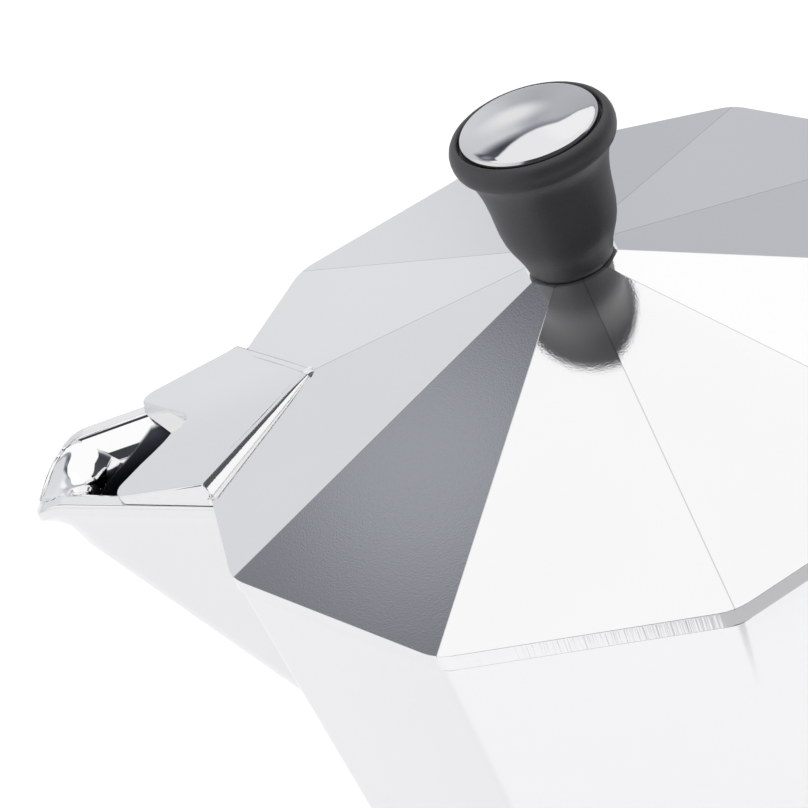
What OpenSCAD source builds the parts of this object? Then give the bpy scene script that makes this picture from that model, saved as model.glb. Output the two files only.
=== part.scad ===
// Ten-sided stovetop moka pot: boiler, coffee funnel, collector, lid, knob and handle.
// Millimetres, +Z up, origin at the centre of the boiler's underside.
// The spout points along -X, the handle and the lid's hinge along +X.

/* [Boiler] */
// Centre to corner at the foot
boiler_foot_r = 51.5; // [48:0.5:54]
// Centre to corner at the shoulder
boiler_shoulder_r = 43.5; // [42:0.5:46]
// Height of the ten flat sides
boiler_side_h = 74; // [68:1:82]
// Height of the sloping shoulder above the sides
shoulder_h = 4; // [3:0.5:6]
// Wall thickness of the ten sides
boiler_wall = 3.2; // [2.4:0.2:4]
// Thickness of the bottom
boiler_floor = 3.5; // [2.5:0.5:5]
// Height of the threaded neck above the shoulder
neck_h = 13.5; // [12:0.5:16]
// Inner radius of the neck
neck_bore_r = 29.5; // [28:0.5:30]
// Wall thickness of the neck under the thread
neck_wall = 4.4; // [3.5:0.1:5]

/* [Thread] */
// Rise of the collector for one turn
thread_pitch = 3; // [2:0.5:4]
// Height of the thread above its root
thread_depth = 0.9; // [0.5:0.1:1.2]
// Number of thread ridges on the neck
neck_ridges = 3; // [1:1:3]
// Number of thread ridges in the collector's skirt
skirt_ridges = 2; // [1:1:2]
// Radial gap between the crests of the two threads
crest_gap = 0.25; // [0.2:0.05:0.5]

/* [Safety valve] */
// Height of the valve's axis
valve_z = 46; // [40:1:56]
// Radius of the flat land that the valve seats on
valve_land_r = 9.5; // [8.5:0.5:11]
// How far the land stands out from the side
valve_land_out = 1.6; // [1:0.2:3]
// Width of the hexagon across its flats
valve_hex_w = 14; // [12:0.5:16]
// Thickness of the hexagon
valve_hex_t = 4; // [3:0.5:5]
// Radius of the threaded shank
valve_shank_r = 4.8; // [4.4:0.1:5.5]
// Radius of the chamber that holds the spring
valve_chamber_r = 3.2; // [3:0.1:3.6]
// Radius of the steam hole behind the pin's head
valve_hole_r = 1.5; // [1:0.1:2]
// Radius of the pin's stem
valve_stem_r = 0.9; // [0.7:0.1:1.1]
// How far the pin's stem stands out of the cap
valve_stem_out = 2; // [1.5:0.1:3]
// Diameter of the spring's wire
valve_wire = 0.5; // [0.4:0.05:0.6]
// Number of turns in the spring
valve_spring_turns = 5; // [3:1:6]

/* [Funnel] */
// Outer radius of the basket
basket_r = 28.9; // [27:0.1:29.2]
// Depth of the basket below its flange
basket_h = 27; // [22:1:34]
// Sheet thickness of the basket
basket_wall = 0.9; // [0.6:0.1:1.4]
// Outer radius of the flange
flange_r = 32.4; // [31.8:0.1:32.8]
// Thickness of the flange
flange_t = 1; // [0.8:0.1:1.5]
// Outer radius of the stem
stem_r = 4; // [3.5:0.1:5]
// Wall thickness of the stem
stem_wall = 0.8; // [0.6:0.1:1.2]
// Gap between the stem's end and the boiler's bottom
stem_gap = 4; // [3:0.5:8]

/* [Gasket and filter] */
// Inner radius of the gasket
gasket_bore_r = 26.5; // [25.5:0.5:28]
// Thickness of the gasket
gasket_t = 3.4; // [2.5:0.1:4]
// Thickness of the filter plate
filter_t = 0.8; // [0.6:0.1:1.2]
// Radius of the holes in the filter plate
filter_hole_r = 0.7; // [0.5:0.1:0.9]
// Distance between the rings of holes
filter_ring_step = 5; // [4:0.5:7]
// Number of rings of holes
filter_rings = 3; // [1:1:4]

/* [Collector] */
// Centre to corner at the rim
collector_rim_r = 49.53; // [48:0.5:51]
// Centre to corner at the lower end
collector_low_r = 40.8; // [40.5:0.1:43]
// Height from the lower end to the rim
collector_h = 98.7; // [90:1:106]
// Wall thickness of the ten sides
collector_wall = 2.6; // [2:0.2:3]
// Thickness of the floor
collector_floor = 3.2; // [2.5:0.2:4]
// Gap between the boiler's shoulder and the collector
skirt_gap = 4; // [3:0.5:6]
// Outer radius of the column at its foot
column_foot_r = 10; // [9:0.5:12]
// Outer radius of the column at its top
column_top_r = 6.2; // [5.5:0.1:7.5]
// Height of the column above the floor
column_h = 64; // [50:1:68]
// Radius of the column's bore
column_bore_r = 3.6; // [3:0.1:4.2]
// Height of the two outlets below the column's cap
outlet_h = 7; // [5:0.5:9]

/* [Spout] */
// Distance from the axis to the tip of the spout
spout_reach = 72.2; // [68:0.2:76]
// Slope of the keel below the tip, in degrees from upright
keel_lean = 31.2; // [28:0.2:34]
// Radius of the keel
keel_r = 7.4; // [6:0.1:7.6]
// Half the angle between the spout's sides, in degrees
spout_half_angle = 18.2; // [17:0.2:21]
// Wall thickness of the spout
spout_wall = 1.9; // [1.5:0.1:2.3]
// How far the lip droops at the tip
lip_droop = 3.7; // [2:0.1:4.5]
// Length of the drooping part of the lip
lip_droop_len = 5.6; // [4:0.2:7]
// Thickness of the lip's overhanging nose
lip_nose_t = 1; // [0.8:0.1:1.4]

/* [Lid] */
// Centre to corner of the lid
lid_r = 50; // [49.6:0.2:52]
// Height of the lid's upright band
lid_band = 2.32; // [1.8:0.1:3.2]
// Height of the lid's peak above the band
lid_rise = 14.64; // [12:0.2:17]
// Upright thickness of the lid's sloping sides
lid_wall = 2.3; // [1.8:0.1:3]
// Radius of the flat under the knob
lid_flat_r = 5.4; // [5:0.1:6]
// Depth of the locating ring below the lid
lid_ring_h = 3; // [2:0.5:4]
// Thickness of the locating ring
lid_ring_t = 1.6; // [1.2:0.2:2.4]
// Gap between the locating ring and the collector
lid_ring_gap = 0.7; // [0.5:0.1:1.2]
// Distance from the axis to the inner point of the spout cover
cover_start = 33.4; // [30:0.2:36]
// Distance from the axis to the corners beside the rim
cover_side_x = 46; // [44:0.2:47]
// Half width of the cover beside the rim
cover_side_y = 13.4; // [12:0.2:14]
// Distance from the axis to the cover's front corners
cover_front_x = 57.6; // [55:0.2:60]
// Half width of the cover at its front corners
cover_front_y = 8.8; // [8:0.2:10]
// Distance from the axis to the bottom of the front notch
cover_notch_x = 50.4; // [48.6:0.2:53]
// Fall of the cover's top, in millimetres for each millimetre outwards
cover_fall = 0.235; // [0.2:0.005:0.245]
// Thickness of the cover
cover_t = 1.3; // [1:0.1:1.8]
// Gap between the cover and the lip of the spout
cover_gap = 0.3; // [0.3:0.1:0.8]

/* [Knob] */
// Radius of the knob's foot
knob_foot_r = 4.2; // [3.9:0.1:4.8]
// Radius of the knob's body
knob_body_r = 6.9; // [6:0.1:7.5]
// Radius of the knob's upper lip
knob_lip_r = 9.3; // [8.8:0.1:10]
// Height of the knob without its disc
knob_h = 18; // [16:0.5:21]
// Radius of the steel disc on the knob
disc_r = 7.8; // [7:0.1:8]
// Height of the disc's dome
disc_dome = 1.5; // [1:0.1:2]
// Radius of the threaded insert
insert_r = 3; // [2.7:0.1:3.4]
// Length of the threaded insert
insert_h = 8; // [6:0.5:10]
// Radius of the screw
screw_r = 1.9; // [1.6:0.1:2.2]
// Radius of the screw's head
screw_head_r = 3.6; // [3.2:0.1:4]
// Thickness of the screw's head
screw_head_t = 2.2; // [1.8:0.1:2.6]
// Thickness of the washer under the head
washer_t = 0.8; // [0.5:0.1:1]

/* [Hinge] */
// Distance from the axis to the hinge pin
hinge_x = 55.5; // [55:0.5:58]
// Height of the hinge pin above the lid's corner
hinge_up = 0.2; // [-0.4:0.2:1]
// Radius of the hinge pin
hinge_pin_r = 1.5; // [1.2:0.1:1.7]
// Radius of the knuckles around the pin
knuckle_r = 3.4; // [3.1:0.1:3.6]
// Width of the lid's knuckle
knuckle_w = 10; // [8:0.5:10.5]
// Thickness of each of the collector's two ears
ear_t = 4; // [3:0.5:4.5]
// Gap on each side of the lid's knuckle
ear_gap = 0.3; // [0.2:0.05:0.5]

/* [Handle] */
// Distance from the axis to the back of the grip
handle_reach = 112; // [104:1:120]
// Length of the handle from its top to its lower end
handle_drop = 98; // [84:1:106]
// Thickness of the handle, front to back, at the grip
grip_t = 15; // [12:0.5:18]
// Width of the handle, side to side
grip_w = 18.5; // [16:0.5:22]
// Height of the arm where it meets the collector
arm_h = 23; // [20:0.5:26]
// Distance of the handle's top below the lid's corner
handle_below = 4; // [3.2:0.2:6]
// Outer radius of the handle's bend
bend_r = 22; // [18:1:26]
// Width of the collector's tongue inside the handle
tongue_w = 8; // [6:0.5:9]
// Height of the tongue
tongue_h = 13; // [11:0.5:15]
// Length of the tongue inside the handle
tongue_l = 16; // [13:0.5:20]
// Radius of the pin through the tongue
rivet_r = 2; // [1.6:0.1:2.4]

/* [Fits] */
// Gap between flat faces that seat on each other
seat_gap = 0.05; // [0.02:0.01:0.1]
// Radial gap of a pin in its hole
pin_gap = 0.05; // [0.03:0.01:0.08]
// Radial gap of a part that drops into its place
drop_gap = 0.25; // [0.2:0.05:0.3]

/* [Hidden] */

sides = 10;
step = 360 / sides;
half_step = step / 2;
flat_share = cos(half_step);
cut = 300;
eps = 0.01;

// Heights of the stack, from the bottom up
shoulder_z = boiler_side_h + shoulder_h;
neck_z = shoulder_z + neck_h;
flange_z = neck_z + seat_gap;
gasket_z = flange_z + flange_t + seat_gap;
filter_z = gasket_z + gasket_t + seat_gap;
floor_z = filter_z + filter_t + seat_gap;
floor_top_z = floor_z + collector_floor;
collector_z = shoulder_z + skirt_gap;
rim_z = collector_z + collector_h;
corner_z = rim_z + lid_band;
hinge_z = corner_z + hinge_up;

// Boiler
neck_r = neck_bore_r + neck_wall;
crest_r = neck_r + thread_depth;
skirt_bore_r = crest_r + crest_gap + thread_depth;
seat_bore_r = flange_r + drop_gap;
foot_chamfer = 1.5;

// Collector
collector_tilt_rate = (collector_rim_r - collector_low_r) / collector_h;
collector_wall_r = collector_wall / flat_share;
function collector_r(z) = collector_low_r + collector_tilt_rate * (z - collector_z);

// Lid
lid_slope = atan(lid_rise / (lid_r * flat_share));
lid_seat_z = corner_z + lid_rise * (1 - lid_flat_r / lid_r);
lid_ring_r = collector_rim_r - collector_wall_r - lid_ring_gap;
cover_peak_z = corner_z + lid_rise * (1 - cover_start / lid_r);
cover_low_z = rim_z + cover_gap;

// Spout
keel_rate = tan(keel_lean);
lip_front_z = rim_z - lip_droop;
keel_top_x = -spout_reach - lip_droop * keel_rate + 0.6;

// Hinge and handle
ear_in = knuckle_w / 2 + ear_gap;
ear_out = ear_in + ear_t;
handle_front_x = hinge_x + knuckle_r + 1;
handle_top_z = corner_z - handle_below;
handle_low_z = handle_top_z - handle_drop;
tongue_mid_z = handle_top_z - arm_h / 2;
tongue_end_x = handle_front_x + tongue_l;
rivet_x = handle_front_x + tongue_l / 2;

// Safety valve, measured outwards along -Y
function boiler_flat(z) = flat_share
    * (boiler_foot_r - (boiler_foot_r - boiler_shoulder_r) * z / boiler_side_h);
valve_land_y = boiler_flat(valve_z - valve_land_r) + valve_land_out;
valve_washer_t = 1;
valve_hex_y = valve_land_y + valve_washer_t + 2 * seat_gap;
valve_face_y = valve_hex_y + valve_hex_t;
valve_inner_y = boiler_flat(valve_z) - boiler_wall - 3;
valve_seat_y = valve_inner_y + 2.2;
valve_head_t = 1.6;
valve_head_y = valve_seat_y + seat_gap;
valve_spring_y = valve_head_y + valve_head_t + seat_gap;
valve_cap_t = 1.8;
valve_cap_y = valve_face_y - 1;
valve_cap_rim = 0.6;
valve_hex_r = valve_hex_w / 2 / cos(30);

// A straight-sided ring of sides whose corners lie r_low and r_high from the axis
module decagon_frustum(r_low, r_high, h) {
    flat_low = r_low * flat_share;
    tilt = atan((r_high - r_low) * flat_share / h);
    difference() {
        cylinder(h = h, r = max(r_low, r_high) + 3, $fn = sides);
        for (k = [0 : sides - 1])
            rotate([0, 0, half_step + step * k])
                translate([flat_low, 0, 0])
                    rotate([0, tilt, 0])
                        translate([0, -cut / 2, -cut / 2])
                            cube(cut);
    }
}

// A ten-sided pyramid whose corners lie r from the axis at height 0, with a plinth below
module decagon_roof(r, rise, plinth) {
    slope = atan(rise / (r * flat_share));
    difference() {
        translate([0, 0, -plinth])
            cylinder(h = plinth + rise, r = r, $fn = sides);
        for (k = [0 : sides - 1])
            rotate([0, 0, half_step + step * k])
                translate([r * flat_share, 0, 0])
                    rotate([0, slope, 0])
                        translate([-cut, -cut / 2, 0])
                            cube([2 * cut, cut, cut]);
    }
}

// A plain ring between two radii
module ring(r_out, r_in, h) {
    difference() {
        cylinder(h = h, r = r_out, $fn = 96);
        translate([0, 0, -1])
            cylinder(h = h + 2, r = r_in, $fn = 96);
    }
}

// Thread ridges on a root of radius r; out is 1 for a neck and -1 for a bore
module ridges(r, out, count) {
    flank = thread_depth * 0.58;
    crest = thread_depth * 0.3;
    for (k = [0 : count - 1])
        translate([0, 0, k * thread_pitch])
            rotate_extrude($fn = 96)
                polygon([[r - out * 0.4, -flank - crest], [r, -flank - crest],
                         [r + out * thread_depth, -crest], [r + out * thread_depth, crest],
                         [r, flank + crest], [r - out * 0.4, flank + crest]]);
}

// Turns a shape that stands on the XY plane so that it points out of the boiler along -Y
module along_valve(y) {
    translate([0, -y, valve_z])
        rotate([90, 0, 0])
            children();
}

// A side-view outline in X and Z, made as wide as w about the middle plane
module slab(w) {
    translate([0, w / 2, 0])
        rotate([90, 0, 0])
            linear_extrude(height = w)
                children();
}

module boiler() {
    color([0.80, 0.80, 0.81])
    difference() {
        union() {
            intersection() {
                decagon_frustum(boiler_foot_r, boiler_shoulder_r, boiler_side_h);
                cylinder(h = boiler_side_h, r1 = boiler_foot_r - foot_chamfer,
                         r2 = boiler_foot_r - foot_chamfer + boiler_side_h, $fn = 96);
            }
            translate([0, 0, boiler_side_h - eps])
                intersection() {
                    decagon_frustum(boiler_shoulder_r, crest_r + 2, shoulder_h + eps);
                    cylinder(h = shoulder_h + eps, r = boiler_shoulder_r, $fn = 96);
                }
            translate([0, 0, boiler_side_h])
                cylinder(h = shoulder_h + neck_h, r = neck_r, $fn = 96);
            translate([0, 0, neck_z - 2 - (neck_ridges - 1) * thread_pitch])
                ridges(neck_r, 1, neck_ridges);
            intersection() {
                along_valve(boiler_flat(valve_z) - boiler_wall)
                    cylinder(h = valve_land_y - boiler_flat(valve_z) + boiler_wall,
                             r = valve_land_r, $fn = 64);
                translate([0, -cut / 2, 0])
                    cube(cut, center = true);
            }
        }
        translate([0, 0, boiler_floor])
            decagon_frustum(boiler_foot_r - boiler_wall / flat_share,
                            boiler_shoulder_r - boiler_wall / flat_share,
                            boiler_side_h - boiler_floor - boiler_wall);
        translate([0, 0, boiler_side_h - boiler_wall - eps])
            cylinder(h = shoulder_h + boiler_wall + 2 * eps,
                     r1 = boiler_shoulder_r * flat_share - boiler_wall, r2 = neck_bore_r, $fn = 96);
        translate([0, 0, shoulder_z - eps])
            cylinder(h = neck_h + 1, r = neck_bore_r, $fn = 96);
        along_valve(boiler_flat(valve_z) - boiler_wall - 4)
            cylinder(h = valve_land_y + 1, r = valve_shank_r + pin_gap, $fn = 64);
    }
}

module valve_body() {
    color([0.78, 0.62, 0.34])
    difference() {
        union() {
            along_valve(valve_hex_y)
                cylinder(h = valve_hex_t, r = valve_hex_r, $fn = 6);
            along_valve(valve_inner_y)
                cylinder(h = valve_hex_y - valve_inner_y + eps, r = valve_shank_r, $fn = 64);
        }
        along_valve(valve_seat_y)
            cylinder(h = cut, r = valve_chamber_r, $fn = 48);
        along_valve(valve_inner_y - 1)
            cylinder(h = cut, r = valve_hole_r, $fn = 32);
    }
}

module valve_washer() {
    color([0.75, 0.25, 0.18])
    along_valve(valve_land_y + seat_gap)
        ring(valve_hex_w / 2, valve_shank_r + pin_gap, valve_washer_t);
}

module valve_pin() {
    color([0.72, 0.72, 0.70])
    union() {
        along_valve(valve_head_y)
            cylinder(h = valve_head_t, r = valve_chamber_r - drop_gap, $fn = 48);
        along_valve(valve_head_y + valve_head_t - eps)
            cylinder(h = valve_cap_y + valve_cap_t + valve_cap_rim + valve_stem_out
                         - valve_head_y - valve_head_t,
                     r = valve_stem_r, $fn = 32);
    }
}

// One ring of the spring's wire, at turn t from 0 to 1
spring_sides = 6;
spring_rings = 14 * valve_spring_turns;
spring_mid_r = (valve_chamber_r + valve_stem_r) / 2;
spring_len = valve_cap_y - valve_spring_y - valve_wire - 2 * seat_gap;
function spring_point(t, a) =
    let (turn = 360 * valve_spring_turns * t,
         r = spring_mid_r + valve_wire / 2 * cos(a))
    [r * cos(turn), r * sin(turn), valve_wire / 2 + spring_len * t + valve_wire / 2 * sin(a)];

module valve_spring() {
    points = [for (i = [0 : spring_rings], j = [0 : spring_sides - 1])
              spring_point(i / spring_rings, 360 * j / spring_sides)];
    side_faces = [for (i = [0 : spring_rings - 1], j = [0 : spring_sides - 1])
                  let (n = (j + 1) % spring_sides, a = i * spring_sides, b = a + spring_sides)
                  [a + j, b + j, b + n, a + n]];
    first_face = [[for (j = [0 : spring_sides - 1]) j]];
    last_face = [[for (j = [spring_sides - 1 : -1 : 0]) spring_rings * spring_sides + j]];
    color([0.70, 0.70, 0.72])
    along_valve(valve_spring_y + seat_gap)
        polyhedron(points, concat(side_faces, first_face, last_face));
}

module valve_cap() {
    color([0.74, 0.58, 0.30])
    difference() {
        union() {
            along_valve(valve_cap_y)
                cylinder(h = valve_cap_t, r = valve_chamber_r - pin_gap, $fn = 48);
            along_valve(valve_face_y + seat_gap)
                cylinder(h = valve_cap_y + valve_cap_t - valve_face_y - seat_gap + valve_cap_rim,
                         r = valve_chamber_r + 1.4, $fn = 48);
        }
        along_valve(valve_cap_y - 1)
            cylinder(h = valve_cap_t + 4, r = valve_stem_r + pin_gap, $fn = 32);
    }
}

// Basket: a flange, a straight wall and a shallow cone that leads into the stem
basket_low_z = flange_z - basket_h;
cone_h = 4;
screen_z = basket_low_z + seat_gap;
screen_r = basket_r - basket_wall - drop_gap;
stem_low_z = boiler_floor + stem_gap;

module funnel() {
    color([0.76, 0.76, 0.77])
    rotate_extrude($fn = 96)
        polygon([[basket_r - basket_wall, flange_z], [basket_r - basket_wall, basket_low_z],
                 [stem_r + pin_gap, basket_low_z - cone_h],
                 [stem_r + pin_gap, basket_low_z - cone_h - 6],
                 [stem_r + pin_gap + basket_wall, basket_low_z - cone_h - 6],
                 [stem_r + pin_gap + basket_wall, basket_low_z - cone_h - basket_wall],
                 [basket_r, basket_low_z - basket_wall], [basket_r, flange_z],
                 [flange_r, flange_z], [flange_r, flange_z + flange_t],
                 [basket_r - basket_wall, flange_z + flange_t]]);
}

module funnel_stem() {
    color([0.74, 0.74, 0.76])
    translate([0, 0, stem_low_z])
        ring(stem_r, stem_r - stem_wall, basket_low_z - cone_h - stem_low_z);
}

// Rings of holes, the same distance apart, for the two perforated discs
module hole_rings(hole_r, ring_step, rings, h) {
    for (ring_no = [1 : rings], k = [0 : 6 * ring_no - 1])
        rotate([0, 0, 60 * k / ring_no])
            translate([ring_step * ring_no, 0, -1])
                cylinder(h = h + 2, r = hole_r, $fn = 16);
}

module funnel_screen() {
    color([0.78, 0.78, 0.79])
    translate([0, 0, screen_z])
        difference() {
            cylinder(h = filter_t, r = screen_r, $fn = 96);
            hole_rings(filter_hole_r, filter_ring_step, filter_rings, filter_t);
        }
}

module gasket() {
    color([0.90, 0.88, 0.84])
    translate([0, 0, gasket_z])
        ring(flange_r, gasket_bore_r, gasket_t);
}

module filter_plate() {
    color([0.80, 0.80, 0.81])
    translate([0, 0, filter_z])
        difference() {
            cylinder(h = filter_t, r = flange_r - 2.4, $fn = 96);
            hole_rings(filter_hole_r, filter_ring_step, filter_rings, filter_t);
        }
}

// Cross-section of the spout, square to its keel, grown inwards by inset
module keel_section(inset) {
    r = keel_r - inset;
    back = 70;
    touch_x = keel_r - r * sin(spout_half_angle);
    touch_y = r * cos(spout_half_angle);
    polygon(concat(
        [[back, touch_y + tan(spout_half_angle) * (back - touch_x)]],
        [for (a = [90 + spout_half_angle : 5 : 270 - spout_half_angle])
         [keel_r + r * cos(a), r * sin(a)]],
        [[back, -touch_y - tan(spout_half_angle) * (back - touch_x)]]));
}

// The V-shaped prism of the spout, which runs down along the keel
module keel_prism(inset) {
    translate([keel_top_x, 0, rim_z])
        rotate([0, 180 - keel_lean, 0])
            translate([0, 0, -30])
                linear_extrude(height = 160)
                    mirror([1, 0])
                        keel_section(inset);
}

// The lip's blunt front, seen from above
module lip_plan(inset) {
    wide = keel_r - inset;
    nose_r = 3.4;
    front_x = -spout_reach + inset;
    translate([front_x + 9, 0])
        square([18 - 2 * nose_r, 2 * wide], center = true);
    translate([front_x + 9, 0])
        square([18, 2 * wide - 2 * nose_r], center = true);
    for (side = [-1, 1])
        translate([front_x + nose_r, side * (wide - nose_r)])
            circle(r = nose_r, $fn = 48);
}

module spout_outer() {
    intersection() {
        keel_prism(0);
        slab(80)
            polygon([[0, rim_z - 95], [0, rim_z], [-spout_reach + lip_droop_len, rim_z],
                     [-spout_reach + lip_droop_len * 0.5, rim_z - lip_droop * 0.3],
                     [-spout_reach, lip_front_z], [-spout_reach, rim_z - 95]]);
    }
    intersection() {
        translate([0, 0, rim_z - 20])
            linear_extrude(height = 20)
                lip_plan(0);
        slab(80)
            polygon([[-spout_reach + lip_droop_len, rim_z],
                     [-spout_reach + lip_droop_len * 0.5, rim_z - lip_droop * 0.3],
                     [-spout_reach, lip_front_z],
                     [-spout_reach, lip_front_z - lip_nose_t],
                     [-spout_reach + 2.4, lip_front_z - lip_nose_t - 0.4],
                     [-spout_reach + lip_droop_len, lip_front_z - 0.6],
                     [-spout_reach + lip_droop_len + 4, rim_z - 1]]);
    }
}

// The way for the coffee, open at the top and towards the collector
module spout_inner() {
    difference() {
        keel_prism(spout_wall);
        translate([-cut, -cut / 2, rim_z - 300 - 60])
            cube([cut * 2, cut, 300]);
    }
}

// Outline, in X and Z, of the casting that carries the hinge and the handle
module bracket_outline() {
    web_low_z = tongue_mid_z - tongue_h / 2 - 8;
    polygon([[20, web_low_z - 30], [collector_r(web_low_z - 12) * 0.9, web_low_z - 12],
             [hinge_x + knuckle_r, tongue_mid_z - tongue_h / 2],
             [hinge_x + knuckle_r, hinge_z],
             [hinge_x - knuckle_r, hinge_z],
             [lid_r + 0.4, rim_z - 0.4], [20, rim_z - 0.4]]);
    translate([hinge_x, hinge_z])
        circle(r = knuckle_r, $fn = 64);
}

module collector_bracket() {
    difference() {
        slab(2 * ear_out)
            bracket_outline();
        // the space that the lid's knuckle turns in
        slab(2 * ear_in)
            translate([hinge_x - knuckle_r - 2.4, hinge_z - knuckle_r - 0.6])
                square([20, 20]);
    }
    slab(tongue_w)
        translate([hinge_x - 2, tongue_mid_z - tongue_h / 2])
            square([tongue_end_x - hinge_x + 2, tongue_h]);
}

// The column that the coffee rises through, with two outlets under its cap
module column() {
    cap_h = 3;
    difference() {
        union() {
            translate([0, 0, floor_top_z - 1])
                cylinder(h = column_h + 1, r1 = column_foot_r, r2 = column_top_r, $fn = 64);
            translate([0, 0, floor_top_z + column_h])
                cylinder(h = cap_h / 2, r1 = column_top_r, r2 = column_top_r - 1.5, $fn = 64);
        }
        for (side = [-1, 1])
            translate([-column_top_r - 2, side * (column_top_r + 0.6) - 2.6,
                       floor_top_z + column_h - cap_h - outlet_h])
                cube([2 * column_top_r + 4, 5.2, outlet_h]);
    }
}

module collector() {
    cavity_h = rim_z - floor_top_z + 1;
    color([0.84, 0.84, 0.85])
    difference() {
        union() {
            difference() {
                union() {
                    translate([0, 0, collector_z])
                        decagon_frustum(collector_low_r, collector_rim_r, collector_h);
                    spout_outer();
                    collector_bracket();
                }
                translate([0, 0, floor_top_z])
                    decagon_frustum(collector_r(floor_top_z) - collector_wall_r,
                                    collector_r(floor_top_z + cavity_h) - collector_wall_r,
                                    cavity_h);
                intersection() {
                    spout_inner();
                    translate([-cut, -cut / 2, floor_top_z])
                        cube([cut - 10, cut, cut]);
                }
            }
            column();
            intersection() {
                translate([0, 0, collector_z + 1 + thread_pitch / 2])
                    ridges(skirt_bore_r, -1, skirt_ridges);
                translate([0, 0, collector_z])
                    cylinder(h = neck_h, r = skirt_bore_r + 0.5, $fn = 96);
            }
        }
        difference() {
            translate([0, 0, collector_z - 1])
                cylinder(h = flange_z - collector_z + 1, r = skirt_bore_r, $fn = 96);
            translate([0, 0, collector_z + 1 + thread_pitch / 2])
                ridges(skirt_bore_r, -1, skirt_ridges);
        }
        translate([0, 0, collector_z - 1])
            cylinder(h = floor_z - collector_z + 1, r = seat_bore_r, $fn = 96);
        // a shallow dome gathers the coffee under the column
        translate([0, 0, floor_z - eps])
            cylinder(h = 1.4, r1 = gasket_bore_r, r2 = column_bore_r, $fn = 96);
        translate([0, 0, floor_z])
            cylinder(h = collector_floor + column_h - 4, r = column_bore_r, $fn = 48);
        // holes for the hinge pin and the handle's pin
        translate([hinge_x, 0, hinge_z])
            rotate([90, 0, 0])
                cylinder(h = 60, r = hinge_pin_r + pin_gap, center = true, $fn = 48);
        translate([rivet_x, 0, tongue_mid_z])
            rotate([90, 0, 0])
                cylinder(h = 60, r = rivet_r + pin_gap, center = true, $fn = 48);
    }
}

// Plan of the spout cover; inset keeps the side walls and opens the notched front
module cover_plan(inset) {
    polygon([[-cover_start - 3 * inset, 0], [-cover_side_x, cover_side_y - inset],
             [-cover_front_x - inset, cover_front_y - 1.2 * inset], [-cover_notch_x - inset, 0],
             [-cover_front_x - inset, -cover_front_y + 1.2 * inset],
             [-cover_side_x, -cover_side_y + inset]]);
}

// What lies below the cover's sloping top, lowered by drop
module below_cover(drop) {
    translate([-cover_start, 0, cover_peak_z - drop])
        rotate([0, -atan(cover_fall), 0])
            translate([-cut / 2, -cut / 2, -cut])
                cube(cut);
}

module lid() {
    roof_z = corner_z;
    color([0.85, 0.85, 0.86])
    difference() {
        union() {
            difference() {
                union() {
                    difference() {
                        translate([0, 0, roof_z])
                            decagon_roof(lid_r, lid_rise, lid_band);
                        translate([-cut / 2, -cut / 2, lid_seat_z])
                            cube(cut);
                    }
                    // locating ring, open at the spout
                    difference() {
                        translate([0, 0, rim_z - lid_ring_h])
                            cylinder(h = lid_ring_h + 1, r = lid_ring_r, $fn = sides);
                        translate([-cut, -cover_side_y, rim_z - lid_ring_h - 1])
                            cube([cut, 2 * cover_side_y, lid_ring_h + 1]);
                    }
                }
                intersection() {
                    translate([0, 0, roof_z - lid_wall])
                        decagon_roof(lid_r, lid_rise, cut);
                    translate([0, 0, rim_z - lid_ring_h - 1])
                        cylinder(h = lid_seat_z - lid_wall - rim_z + lid_ring_h + 1,
                                 r = lid_ring_r - lid_ring_t, $fn = sides);
                }
            }
            intersection() {
                translate([0, 0, cover_low_z])
                    linear_extrude(height = 20)
                        cover_plan(0);
                below_cover(0);
            }
            // knuckle and the arm that joins it to the lid
            difference() {
                slab(knuckle_w)
                    union() {
                        translate([hinge_x, hinge_z])
                            circle(r = knuckle_r - 0.2, $fn = 64);
                        polygon([[lid_r - 6, rim_z], [hinge_x, rim_z],
                                 [hinge_x, hinge_z + knuckle_r - 0.2],
                                 [hinge_x - 2, hinge_z + knuckle_r - 0.3],
                                 [lid_r - 6, corner_z + 2.2]]);
                    }
            }
        }
        // the cover is hollow and open to the spout
        intersection() {
            translate([0, 0, rim_z - 1])
                linear_extrude(height = 20)
                    cover_plan(cover_t);
            below_cover(cover_t);
        }
        translate([hinge_x, 0, hinge_z])
            rotate([90, 0, 0])
                cylinder(h = 60, r = hinge_pin_r + pin_gap, center = true, $fn = 48);
        cylinder(h = cut, r = screw_r + 0.2, $fn = 32);
    }
}

// Knob, from its foot on the lid up to the recess for its disc
knob_z = lid_seat_z + seat_gap;
lip_h = 3.4;
lip_edge_r = 1.2;
recess_t = 1;
knob_top_z = knob_z + knob_h;
disc_z = knob_top_z - recess_t + seat_gap;
insert_z = knob_z + 0.4;
washer_z = lid_seat_z - lid_wall - seat_gap - washer_t;
head_z = washer_z - seat_gap - screw_head_t;

module knob_profile() {
    swell_z = knob_z + knob_h * 0.42;
    lip_z = knob_top_z - lip_h;
    swell = [for (a = [0 : 15 : 90])
             [knob_foot_r + (knob_body_r - knob_foot_r) * sin(a),
              swell_z - (swell_z - knob_z) * cos(a)]];
    neck = [for (t = [0.1 : 0.1 : 1])
            [knob_body_r + (knob_lip_r - knob_body_r) * pow(t, 3),
             swell_z + (lip_z - swell_z) * t]];
    lip = [for (a = [0 : 15 : 90])
           [knob_lip_r - lip_edge_r + lip_edge_r * cos(a),
            knob_top_z - lip_edge_r + lip_edge_r * sin(a)]];
    polygon(concat([[0, knob_z]], swell, neck, lip, [[0, knob_top_z]]));
}

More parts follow.
